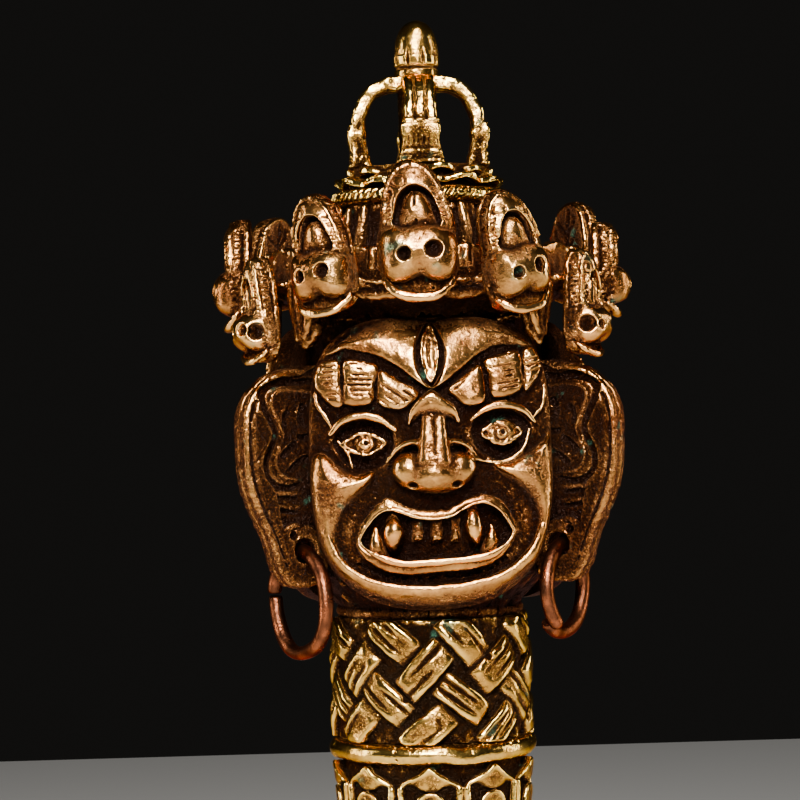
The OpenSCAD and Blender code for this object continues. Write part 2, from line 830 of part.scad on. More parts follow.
module blade() {
    levels = [jaw_z, jaw_z - blade_shoulder_l / 3, jaw_z - blade_shoulder_l * 2 / 3, shoulder_z, tip_z];
    last = len(levels) - 1;
    corners = [
        for (z = levels, k = [0:2])
            [blade_edge(z) * cos(junction_turn[k]), blade_edge(z) * sin(junction_turn[k]), z]
    ];
    walls = [
        for (j = [0:last - 1], k = [0:2])
            let (a = j * 3 + k, b = j * 3 + (k + 1) % 3)
            each [[a, b, b + 3], [a, b + 3, a + 3]]
    ];
    color("darkgoldenrod")
    union() {
        polyhedron(corners, concat([[2, 1, 0]], walls, [[last * 3, last * 3 + 1, last * 3 + 2]]));
        translate([0, 0, jaw_z - 0.01]) cylinder(h = tenon_l, r = blade_tenon_r, $fn = round_fn);
    }
}

// A serpent lies on each flank as a chain of half rings that grow smaller down the blade
serpent_top_z = shoulder_z + 1;
serpent_foot_z = tip_z + blade_l * 0.16;
serpent_taper = 0.86;
bend_sum = (1 - pow(serpent_taper, serpent_bends)) / (1 - serpent_taper);
flank_lean = atan((blade_edge_r - blade_point_r) / 2 / (shoulder_z - tip_z));
bend_first = (serpent_top_z - serpent_foot_z) / cos(flank_lean) / (2 * bend_sum);
function bend_r(k) = bend_first * pow(serpent_taper, k);
function bend_centre(k) = k == 0 ? bend_r(0) : bend_centre(k - 1) + bend_r(k - 1) + bend_r(k);

module serpent() {
    color("gold")
    translate([blade_edge_r / 2, 0, shoulder_z])
    rotate([0, flank_lean, 0])
    translate([serpent_gap, 0, 0])
    intersection() {
        translate([serpent_d * 0.2, 0, shoulder_z - serpent_top_z + 1.2])
        union() {
            for (k = [0:serpent_bends - 1]) {
                body_r = serpent_d / 2 * (1 - 0.45 * k / serpent_bends);
                translate([0, 0, -bend_centre(k)])
                rotate([0, 90, 0])
                rotate([0, 0, k % 2 == 0 ? 0 : 180])
                rotate_extrude(angle = 180, $fn = round_fn)
                translate([bend_r(k), 0])
                circle(r = body_r, $fn = 20);
            }
            sphere(r = serpent_d * 0.8, $fn = 24);
        }
        translate([0, -blade_edge_r, -blade_l]) cube([serpent_d * 2, blade_edge_r * 2, blade_l * 2]);
    }
}

rod();
grip_belly();
bead_ring(1);  // bead_ring_upper
bead_ring(-1);  // bead_ring_lower
lotus();  // lotus_upper
mirror([0, 0, 1]) lotus();  // lotus_lower
rope_ring(1);  // rope_ring_upper
rope_ring(-1);  // rope_ring_lower
knot();  // knot_upper
mirror([0, 0, 1]) knot();  // knot_lower
head_core();
at_face(0) face_mask();  // face_front
at_face(1) face_mask();  // face_right
at_face(2) face_mask();  // face_left
ear(0, -1);  // ear_front_right_a
ear(0, 1);  // ear_front_right_b
ear(1, -1);  // ear_back_a
ear(1, 1);  // ear_back_b
ear(2, -1);  // ear_front_left_a
ear(2, 1);  // ear_front_left_b
earring(0);  // earring_right
earring(1);  // earring_back
earring(2);  // earring_left
crown_band();
skull(0);  // skull_front_middle
skull(1);  // skull_front_right_side
skull(2);  // skull_over_right_ears
skull(3);  // skull_right_left_side
skull(4);  // skull_right_middle
skull(5);  // skull_right_right_side
skull(6);  // skull_over_back_ears
skull(7);  // skull_left_left_side
skull(8);  // skull_left_middle
skull(9);  // skull_left_right_side
skull(10);  // skull_over_left_ears
skull(11);  // skull_front_left_side
topknot();
finial_rope();
finial_disc();
finial_post();
prong(-90);  // prong_front
prong(0);  // prong_right
prong(90);  // prong_back
prong(180);  // prong_left
beast_head();
blade();
rotate([0, 0, face_turn[0]]) serpent();  // serpent_front
rotate([0, 0, face_turn[1]]) serpent();  // serpent_right
rotate([0, 0, face_turn[2]]) serpent();  // serpent_left
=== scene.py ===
import math
import time

import bpy
import numpy as np
from mathutils import Matrix, Vector


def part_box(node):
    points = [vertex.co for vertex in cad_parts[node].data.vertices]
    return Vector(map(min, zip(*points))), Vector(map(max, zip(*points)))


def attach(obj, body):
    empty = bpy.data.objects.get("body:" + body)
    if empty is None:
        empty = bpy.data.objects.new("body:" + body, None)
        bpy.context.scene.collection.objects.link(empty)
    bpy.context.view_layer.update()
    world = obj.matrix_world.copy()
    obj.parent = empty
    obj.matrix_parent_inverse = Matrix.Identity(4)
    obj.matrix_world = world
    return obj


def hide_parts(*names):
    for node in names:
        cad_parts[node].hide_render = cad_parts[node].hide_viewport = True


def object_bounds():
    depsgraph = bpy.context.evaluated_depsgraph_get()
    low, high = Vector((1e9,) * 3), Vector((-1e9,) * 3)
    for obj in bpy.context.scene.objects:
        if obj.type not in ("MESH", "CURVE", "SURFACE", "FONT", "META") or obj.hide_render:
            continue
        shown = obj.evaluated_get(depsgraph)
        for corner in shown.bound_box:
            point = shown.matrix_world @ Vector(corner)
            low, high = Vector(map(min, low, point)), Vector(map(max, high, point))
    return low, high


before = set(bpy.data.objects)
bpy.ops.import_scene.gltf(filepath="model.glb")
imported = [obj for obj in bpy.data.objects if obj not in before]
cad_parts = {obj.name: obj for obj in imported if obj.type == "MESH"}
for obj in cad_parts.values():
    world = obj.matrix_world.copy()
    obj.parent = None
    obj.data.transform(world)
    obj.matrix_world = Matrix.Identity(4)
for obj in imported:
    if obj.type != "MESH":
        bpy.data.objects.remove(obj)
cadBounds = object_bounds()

# A three-faced ritual peg, cast in brass and red copper. Sizes are in millimetres until a mesh is laid.
startTime = time.time()
mm = 0.001


def report(text):
    print("%5.1f s  %s" % (time.time() - startTime, text))


def nodeBox(node):
    low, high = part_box(node)
    return np.array(low) / mm, np.array(high) / mm


def span(node):
    # Heights of a node's foot and top
    low, high = nodeBox(node)
    return low[2], high[2]


def halfWidth(node):
    return nodeBox(node)[1][0]


def unit(value):
    return np.clip(value, 0, 1)


def cosSin(degrees):
    turn = math.radians(degrees)
    return math.cos(turn), math.sin(turn)


# The photograph's view
camera = {
    "distance": 300,       # mm from the staff's axis
    "lens": 135,
    "film": 36,            # mm wide
    "clip": (0.01, 20),    # m
    "centreHeight": 57,    # height that the picture's middle looks at
    "axisShift": 2.46,     # the staff stands this far right of the picture's middle
    "azimuth": -2.0,       # degrees, from the left of the front face
    "lean": 1.41,          # the staff leans to the left in the picture
}


def placeCamera(s):
    data = bpy.data.cameras.new("camera")
    data.sensor_width = s["film"]
    data.lens = s["lens"]
    data.clip_start, data.clip_end = s["clip"]
    seen = bpy.data.objects.new("camera", data)
    bpy.context.scene.collection.objects.link(seen)
    c, t = cosSin(s["azimuth"])
    away, right = Vector((t, -c, 0)), Vector((c, t, 0))
    spot = away * s["distance"] - right * s["axisShift"] + Vector((0, 0, s["centreHeight"]))
    aim = (-away).to_track_quat("-Z", "Y").to_matrix().to_4x4()
    roll = Matrix.Rotation(math.radians(-s["lean"]), 4, "Z")
    seen.matrix_world = Matrix.Translation(spot * mm) @ aim @ roll
    bpy.context.scene.camera = seen


placeCamera(camera)
report("camera placed")


# Modelling clay: signed distances on a grid, negative inside the clay
farOff = 3.0           # mm, a distance that no blend reaches
overhead = 99          # mm, over the top of every block
gritFade = 0.3         # mm over which grit dies out
crumbFaces = 500       # what hangs together in fewer faces has come loose from its piece


def smoothMin(a, b, soft):
    if soft <= 0:
        return np.minimum(a, b)
    share = unit(0.5 + 0.5 * (b - a) / soft)
    return b + (a - b) * share - soft * share * (1 - share)


def smoothMax(a, b, soft):
    return -smoothMin(-a, -b, soft)


def smoothPath(points, steps=5, closed=False):
    # A smooth curve through the control points
    p = np.array(points, float)
    if closed:
        p = np.vstack([p[-1:], p, p[:2]])
    else:
        p = np.vstack([2 * p[0] - p[1], p, 2 * p[-1] - p[-2]])
    t = np.linspace(0, 1, steps, endpoint=False)[:, None]
    out = []
    for a, b, c, d in zip(p[:-3], p[1:-2], p[2:-1], p[3:]):
        out.append(b + 0.5 * t * (c - a + t * (2 * a - 5 * b + 4 * c - d + t * (3 * (b - c) + d - a))))
    out = np.vstack(out)
    return out if closed else np.vstack([out, p[-2:-1]])


def outlineDistance(outline, x, z):
    # Signed distance to a closed outline on a flat grid, negative inside
    best = np.full(np.broadcast(x, z).shape, 1e9, np.float32)
    inside = np.zeros(best.shape, bool)
    for (ax, az), (bx, bz) in zip(outline, np.roll(outline, -1, 0)):
        ex, ez = bx - ax, bz - az
        share = unit(((x - ax) * ex + (z - az) * ez) / max(ex * ex + ez * ez, 1e-9))
        best = np.minimum(best, (x - ax - share * ex) ** 2 + (z - az - share * ez) ** 2)
        crosses = (az > z) != (bz > z)
        if abs(ez) > 1e-9:
            inside ^= crosses & (x < ax + (z - az) * ex / ez)
    best = np.sqrt(best)
    return np.where(inside, -best, best)


def circle(x, z, r, parts):
    return [(x + r * math.cos(a), z + r * math.sin(a)) for a in np.linspace(0, 2 * math.pi, parts)]


class Clay:
    # Axis 0 runs across, axis 1 is the height of the relief and axis 2 runs up the staff.
    # With loop, axis 0 is a way round the staff and closes on itself.
    def __init__(self, low, high, cell, loop=False):
        self.low = np.array(low, float)
        self.loop = loop
        span = np.array(high, float) - self.low
        self.count = np.ceil(span / cell).astype(int) + 1
        self.step = np.full(3, float(cell))
        if loop:
            self.count[0] = int(round(span[0] / cell))
            self.step[0] = span[0] / self.count[0]
        self.cell = cell
        self.field = np.full(self.count, farOff, np.float32)

    def window(self, low, high):
        index, axes = [], []
        for k in range(3):
            first = int(math.floor((low[k] - self.low[k]) / self.step[k]))
            last = int(math.ceil((high[k] - self.low[k]) / self.step[k])) + 1
            if k == 0 and self.loop:
                last = min(last, first + self.count[0])
            else:
                first, last = max(first, 0), min(last, self.count[k])
            run = np.arange(first, max(last, first))
            index.append(run % self.count[k])
            axes.append((self.low[k] + run * self.step[k]).astype(np.float32))
        x, y, z = axes
        return np.ix_(*index), x[:, None, None], y[None, :, None], z[None, None, :]

    def everywhere(self):
        return self.window(self.low, self.low + (self.count - 1) * self.step)

    def merge(self, place, distance, soft, cut):
        old = self.field[place]
        self.field[place] = smoothMax(old, -distance, soft) if cut else smoothMin(old, distance, soft)

    def ground(self, height):
        # Clay up to a height
        place, x, y, z = self.everywhere()
        self.field[place] = y - height

    def trim(self, outside, soft):
        # Leaves the clay only where outside, a distance worked out from (x, y, z), is negative
        place, x, y, z = self.everywhere()
        self.field[place] = smoothMax(self.field[place], outside(x, y, z), soft)

    def ball(self, centre, radii, turn=0, soft=0.2, cut=False):
        reach = max(radii) + soft
        place, x, y, z = self.window(np.array(centre) - reach, np.array(centre) + reach)
        c, s = cosSin(turn)
        dx, dy, dz = x - centre[0], y - centre[1], z - centre[2]
        px, pz = (dx * c + dz * s) / radii[0], (dz * c - dx * s) / radii[2]
        py = dy / radii[1]
        near = np.sqrt(px * px + py * py + pz * pz)
        slope = np.sqrt((px / radii[0]) ** 2 + (py / radii[1]) ** 2 + (pz / radii[2]) ** 2)
        self.merge(place, near * (near - 1) / np.maximum(slope, 1e-4), soft, cut)

    def roll(self, points, soft=0.1, cut=False, steps=5, squash=1.0, closed=False):
        # A roll of wax along points (across, height, up, radius)
        path = smoothPath(points, steps, closed) if steps > 1 else np.array(points, float)
        if closed:
            path = np.vstack([path, path[:1]])
        if self.loop and np.ptp(path[:, 0]) > 0.6 * self.step[0] * self.count[0]:
            half = len(path) // 2        # a ring round the staff is laid as two halves
            self.roll(path[:half + 1], soft, cut, 1, squash)
            self.roll(path[half:], soft, cut, 1, squash)
            return
        reach = path[:, 3].max() + soft + self.cell
        place, x, y, z = self.window(path[:, :3].min(0) - reach, path[:, :3].max(0) + reach)
        near = np.full(np.broadcast(x, y, z).shape, farOff, np.float32)
        ys = y / squash
        for a, b in zip(path[:-1], path[1:]):
            keep = []
            for axis, k in ((x, 0), (y, 1), (z, 2)):
                spot = axis.ravel()
                first = np.searchsorted(spot, min(a[k], b[k]) - reach)
                keep.append(slice(first, np.searchsorted(spot, max(a[k], b[k]) + reach)))
            px, py, pz = x[keep[0]] - a[0], ys[:, keep[1]] - a[1] / squash, z[:, :, keep[2]] - a[2]
            ex, ey, ez = b[0] - a[0], (b[1] - a[1]) / squash, b[2] - a[2]
            share = unit((px * ex + py * ey + pz * ez) / max(ex * ex + ey * ey + ez * ez, 1e-9))
            gap = np.sqrt((px - share * ex) ** 2 + (py - share * ey) ** 2 + (pz - share * ez) ** 2)
            part = near[keep[0], keep[1], keep[2]]
            near[keep[0], keep[1], keep[2]] = np.minimum(part, gap - (a[3] + share * (b[3] - a[3])))
        self.merge(place, near, soft, cut)

    def plate(self, outline, top, edge=(0.3, 0.4), soft=0.12, steps=4, floor=None, corner=0.15):
        # Raises the clay inside an outline to a height, rounded off over the edge: (drop, width)
        path = smoothPath(outline, steps, True) if steps > 1 else np.array(outline, float)
        low, high = path.min(0) - 0.6, path.max(0) + 0.6
        deep = self.low[1] if floor is None else floor
        place, x, y, z = self.window((low[0], deep, low[1]), (high[0], self.low[1] + overhead, high[1]))
        flat = outlineDistance(path, x[:, 0], z[:, 0])[:, None, :]
        crown = (top(x, z) if callable(top) else top) - edge[0] * np.exp(np.minimum(flat, 0) / edge[1])
        self.merge(place, smoothMax(flat, y - crown, corner), soft, False)

    def pit(self, outline, floor, slope=0.0, soft=0.12, steps=4):
        # Sinks the clay inside an outline to a floor
        path = smoothPath(outline, steps, True) if steps > 1 else np.array(outline, float)
        low, high = path.min(0) - 0.4, path.max(0) + 0.4
        place, x, y, z = self.window((low[0], self.low[1], low[1]), (high[0], self.low[1] + overhead, high[1]))
        flat = outlineDistance(path, x[:, 0], z[:, 0])[:, None, :]
        bottom = floor(x, z) if callable(floor) else floor
        self.merge(place, smoothMax(flat - slope * (y - bottom), bottom - y, 0.15), soft, True)

    def surface(self, x, z):
        # Height of the clay's surface over a place
        i = int(round((x - self.low[0]) / self.step[0]))
        i = i % self.count[0] if self.loop else min(max(i, 0), self.count[0] - 1)
        k = min(max(int(round((z - self.low[2]) / self.step[2])), 0), self.count[2] - 1)
        column = self.field[i, :, k]
        solid = np.nonzero(column < 0)[0]
        if not len(solid):
            return self.low[1]
        j = solid[-1]
        if j + 1 >= len(column):
            return self.low[1] + j * self.step[1]
        return self.low[1] + (j + column[j] / (column[j] - column[j + 1])) * self.step[1]

    def score(self, points, depth, width, soft=0.05, steps=4):
        # Draws a line in the surface with a round tool; a negative depth lays a thread on it
        path = smoothPath(points, steps) if steps > 1 else np.array(points, float)
        r = width / 2
        level = [self.surface(p[0], p[1]) for p in path]
        level = np.convolve(np.pad(level, 1, "edge"), [0.25, 0.5, 0.25], "valid")
        height = level - depth + r if depth > 0 else level - r - depth
        rolls = [(p[0], h, p[1], r) for p, h in zip(path, height)]
        self.roll(rolls, soft, cut=depth > 0, steps=1)

    def weather(self, *marks):
        # Slow unevenness of hand-worked wax, or grit. A mark is its depth, size and seed, and the height that it
        # stays below if it has one
        for amount, size, seed, *below in marks:
            self.roughen(amount, size, seed, below)

    def roughen(self, amount, size, seed, below):
        rng = np.random.default_rng(seed)
        cells = [max(int(round(n * s / size)), 2) for n, s in zip(self.count, self.step)]
        noise = rng.uniform(-1, 1, [c + (0 if k == 0 and self.loop else 2) for k, c in enumerate(cells)])
        noise = noise.astype(np.float32)
        for k, (n, c) in enumerate(zip(self.count, cells)):
            spot = np.arange(n) * c / n
            first = np.floor(spot).astype(int)
            share = spot - first
            share = (share * share * (3 - 2 * share)).astype(np.float32)
            share = share.reshape([-1 if j == k else 1 for j in range(3)])
            a = np.take(noise, first % noise.shape[k], k)
            b = np.take(noise, (first + 1) % noise.shape[k], k)
            noise = a + (b - a) * share
        if below:
            rise = self.low[1] + np.arange(self.count[1]) * self.step[1]
            noise = noise * unit((below[0] - rise) / gritFade).astype(np.float32)[None, :, None]
        self.field += amount * noise

    def hollows(self, size):
        # Share of clay within a few steps of each grid point: over half in a hollow, under half on a ridge
        solid = np.clip(0.5 - self.field / self.cell, 0, 1).astype(np.float32)
        half = max(int(round(size / self.cell)), 1)
        for k in range(3):
            for again in range(2):
                mode = "wrap" if k == 0 and self.loop else "edge"
                pad = [(half + 1, half) if j == k else (0, 0) for j in range(3)]
                total = np.cumsum(np.pad(solid, pad, mode=mode), axis=k, dtype=np.float64)
                n = self.count[k]
                ahead = np.take(total, np.arange(2 * half + 1, 2 * half + 1 + n), k)
                behind = np.take(total, np.arange(0, n), k)
                solid = ((ahead - behind) / (2 * half + 1)).astype(np.float32)
        return solid

    def skin(self):
        # Surface nets: one point in each cell that the surface passes, one quad for each grid edge it crosses
        field = np.concatenate([self.field, self.field[:1]], 0) if self.loop else self.field
        inside = field < 0
        n = np.array(field.shape) - 1
        sides = sum(
            inside[i:i + n[0], j:j + n[1], k:k + n[2]].astype(np.uint8)
            for i in (0, 1) for j in (0, 1) for k in (0, 1)
        )
        cells = np.argwhere((sides > 0) & (sides < 8))
        number = np.full(n, -1, np.int32)
        number[tuple(cells.T)] = np.arange(len(cells))
        total = np.zeros((len(cells), 3))
        hits = np.zeros(len(cells))
        for axis in range(3):
            others = [k for k in range(3) if k != axis]
            for i in (0, 1):
                for j in (0, 1):
                    start = cells.copy()
                    start[:, others[0]] += i
                    start[:, others[1]] += j
                    end = start.copy()
                    end[:, axis] += 1
                    a, b = field[tuple(start.T)], field[tuple(end.T)]
                    crossed = (a < 0) != (b < 0)
                    share = a[crossed] / (a[crossed] - b[crossed])
                    spot = start[crossed].astype(float)
                    spot[:, axis] += share
                    total[crossed] += spot
                    hits[crossed] += 1
        points = total / hits[:, None]
        quads = []
        for axis in range(3):
            b, c = (axis + 1) % 3, (axis + 2) % 3
            head = [slice(None)] * 3
            tail = [slice(None)] * 3
            head[axis], tail[axis] = slice(None, -1), slice(1, None)
            change = inside[tuple(head)] != inside[tuple(tail)]
            edge = np.argwhere(change)
            out = inside[tuple(head)][tuple(edge.T)]
            ring = []
            fits = np.ones(len(edge), bool)
            for db, dc in ((1, 1), (0, 1), (0, 0), (1, 0)):
                cell = edge.copy()
                cell[:, b] -= db
                cell[:, c] -= dc
                if self.loop:
                    cell[:, 0] %= n[0]
                ok = ((cell >= 0) & (cell < n)).all(1)
                fits &= ok
                cell = np.where(ok[:, None], cell, 0)
                ring.append(number[tuple(cell.T)])
            if self.loop and axis != 0:
                fits &= edge[:, 0] < n[0]
            quad = np.stack(ring, 1)
            quad[~out] = quad[~out][:, ::-1]
            quads.append(quad[fits])
        quads = withoutCrumbs(len(points), np.vstack(quads), crumbFaces)
        kept, quads = np.unique(quads, return_inverse=True)
        return points[kept], quads.reshape(-1, 4)


def withoutCrumbs(count, quads, least):
    # Leaves out faces that hang together in fewer than so many
    label = np.arange(count)
    while True:
        low = label[quads].min(1)
        joined = label.copy()
        for k in range(4):
            np.minimum.at(joined, quads[:, k], low)
        joined = joined[joined]
        if (joined == label).all():
            break
        label = joined
    size = np.bincount(label[quads[:, 0]], minlength=count)
    return quads[size[label[quads[:, 0]]] >= least]


def openLoops(quads):
    # Closed chains of the edges that only one face uses
    start = quads.ravel()
    end = np.roll(quads, -1, 1).ravel()
    size = int(quads.max()) + 1
    key = start.astype(np.int64) * size + end
    back = end.astype(np.int64) * size + start
    alone = ~np.isin(key, back)
    follows = dict(zip(end[alone].tolist(), start[alone].tolist()))
    loops = []
    while follows:
        first, spot = follows.popitem()
        chain = [first]
        while spot != first and spot in follows:
            chain.append(spot)
            spot = follows.pop(spot)
        if spot == first and len(chain) > 2:
            loops.append(chain)
    return loops


def relax(points, quads, times, share=0.5):
    # Moves each point towards the mean of its neighbours
    a = quads.ravel()
    b = np.roll(quads, -1, 1).ravel()
    uses = np.bincount(a, minlength=len(points)) + np.bincount(b, minlength=len(points))
    for again in range(times):
        mean = np.empty_like(points)
        for k in range(3):
            mean[:, k] = np.bincount(a, points[b, k], len(points)) + np.bincount(b, points[a, k], len(points))
        points = points + share * (mean / np.maximum(uses, 1)[:, None] - points)
    return points


def pickUp(block, points):
    # Values of a block at points between its grid lines
    spot = np.clip(points, 0, np.array(block.shape) - 1.001)
    first = spot.astype(int)
    share = spot - first
    value = np.zeros(len(points))
    for i in (0, 1):
        for j in (0, 1):
            for k in (0, 1):
                weight = 1.0
                for axis, bit in enumerate((i, j, k)):
                    weight = weight * (share[:, axis] if bit else 1 - share[:, axis])
                value += weight * block[first[:, 0] + i, first[:, 1] + j, first[:, 2] + k]
    return value


class Cast:
    # Points in mm on a block's own axes, faces, closing faces and how hollow each point lies, with painted shade added
    # on some pieces
    def __init__(self, points, quads, loops, hollow):
        self.points, self.quads, self.loops, self.hollow = points, quads, loops, hollow


def pour(clay, fine=0.35, wide=1.0, smooth=1, soot=None):
    # soot blackens the ground as well: (height where it is full, height where it ends, amount)
    points, quads = clay.skin()
    near, far = clay.hollows(fine), clay.hollows(wide)
    if clay.loop:
        near, far = (np.concatenate([block, block[:1]], 0) for block in (near, far))
    hollow = 0.55 * pickUp(near, points) + 0.45 * pickUp(far, points)
    fixed = np.zeros(len(points), bool)
    loops = openLoops(quads)
    for chain in loops:
        fixed[chain] = True
    if smooth:
        if clay.loop:   # neighbours across the seam are a whole turn away
            fixed |= (points[:, 0] < 2) | (points[:, 0] > clay.count[0] - 3)
        points = np.where(fixed[:, None], points, relax(points, quads, smooth))
    points = clay.low + points * clay.step
    if soot:
        share = unit((soot[1] - points[:, 1]) / (soot[1] - soot[0]))
        hollow = hollow + soot[2] * share * share * (3 - 2 * share)
    return Cast(points, quads, loops, hollow)


def layMesh(name, cast, place, mirrored):
    # place turns the cast's points into mm in the staff's frame
    points = place(cast.points.copy())
    quads = cast.quads[:, ::-1] if mirrored else cast.quads
    loops = [chain[::-1] for chain in cast.loops] if mirrored else cast.loops
    corners = [quads.ravel()] + [np.array(chain) for chain in loops]
    mesh = bpy.data.meshes.new(name)
    mesh.vertices.add(len(points))
    mesh.vertices.foreach_set("co", (points * mm).astype(np.float32).ravel())
    corners = np.concatenate(corners).astype(np.int32)
    mesh.loops.add(len(corners))
    mesh.loops.foreach_set("vertex_index", corners)
    starts = list(range(0, 4 * len(quads), 4))
    spot = 4 * len(quads)
    for chain in loops:
        starts.append(spot)
        spot += len(chain)
    mesh.polygons.add(len(starts))
    mesh.polygons.foreach_set("loop_start", np.array(starts, np.int32))
    smooth = np.ones(len(starts), bool)
    smooth[len(quads):] = False
    mesh.polygons.foreach_set("use_smooth", smooth)
    mesh.update(calc_edges=True)
    mesh.attributes.new("hollow", "FLOAT", "POINT").data.foreach_set("value", cast.hollow.astype(np.float32))
    return mesh


def addPiece(name, cast, place, make, node, mirrored=True):
    # make is the body that it rides on, its slot, which is not used, and its material
    body, slot, material = make
    mesh = layMesh(name, cast, place, mirrored)
    piece = bpy.data.objects.new(name, mesh)
    bpy.context.scene.collection.objects.link(piece)
    mesh.materials.append(material)
    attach(piece, body)
    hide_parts(node)


def facing(turn=0, reach=0, height=0):
    # From a block seen from the front to the staff: turned, pushed out by reach and lifted by height
    c, s = cosSin(turn)

    def place(p):
        x, y = p[:, 0], -(reach + p[:, 1])
        return np.stack([x * c - y * s, x * s + y * c, p[:, 2] + height], 1)
    return place


def around(radius, profile, upside=1):
    # From a block that goes round the staff: profile is the ground's radius, or gives it at each place
    def place(p):
        turn = p[:, 0] / radius
        r = (profile(turn, p[:, 2]) if callable(profile) else profile) + p[:, 1]
        return np.stack([r * np.sin(turn), -r * np.cos(turn), p[:, 2] * upside], 1)
    return place


# Materials
def linear(hexColour):
    values = [int(hexColour[k:k + 2], 16) / 255 for k in (1, 3, 5)]
    return [v / 12.92 if v <= 0.04045 else ((v + 0.055) / 1.055) ** 2.4 for v in values] + [1.0]


def fillStops(elements, stops):
    # A stop of a colour ramp is a place and a hex colour or a grey value
    elements.remove(elements[-1])
    elements[0].position = stops[0][0]
    for k, (spot, value) in enumerate(stops):
        stop = elements.new(spot) if k else elements[0]
        stop.color = linear(value) if isinstance(value, str) else (value, value, value, 1)


def addNode(tree, kind, settings=None, **links):
    # One node with its settings; a link is (node, output) into the input of that name, or i0, i1 .. for a number
    node = tree.nodes.new(kind)
    for key, value in (settings or {}).items():
        if key == "stops":
            fillStops(node.color_ramp.elements, value)
        elif isinstance(key, int) or key in node.inputs:
            node.inputs[key].default_value = value
        else:
            setattr(node, key, value)
    for key, (source, output) in links.items():
        tree.links.new(source.outputs[output], node.inputs[int(key[1:]) if key[1:].isdigit() else key])
    return node


def newMaterial(name):
    material = bpy.data.materials.new(name)
    material.use_nodes = True
    tree = material.node_tree
    return material, tree, tree.nodes["Principled BSDF"]


def scaleFor(size):
    # The scale at which a pattern has cells of this many mm
    return 1 / (size * mm)


def feed(shader, name, node, output=0):
    shader.id_data.links.new(node.outputs[output], shader.inputs[name])


# what both cast metals share; a pair called Over is where a change starts and where it ends
patina = {
    "speckOver": (0.44, 0.56), "speckRoughness": 0.65, "driftOver": (0.35, 0.7), "grainOver": (0.45, 0.65),
    "bloomOver": (0.66, 0.74), "bloomShare": 0.55, "verdigris": "#3b6a54", "waxRoughness": 0.24,
}


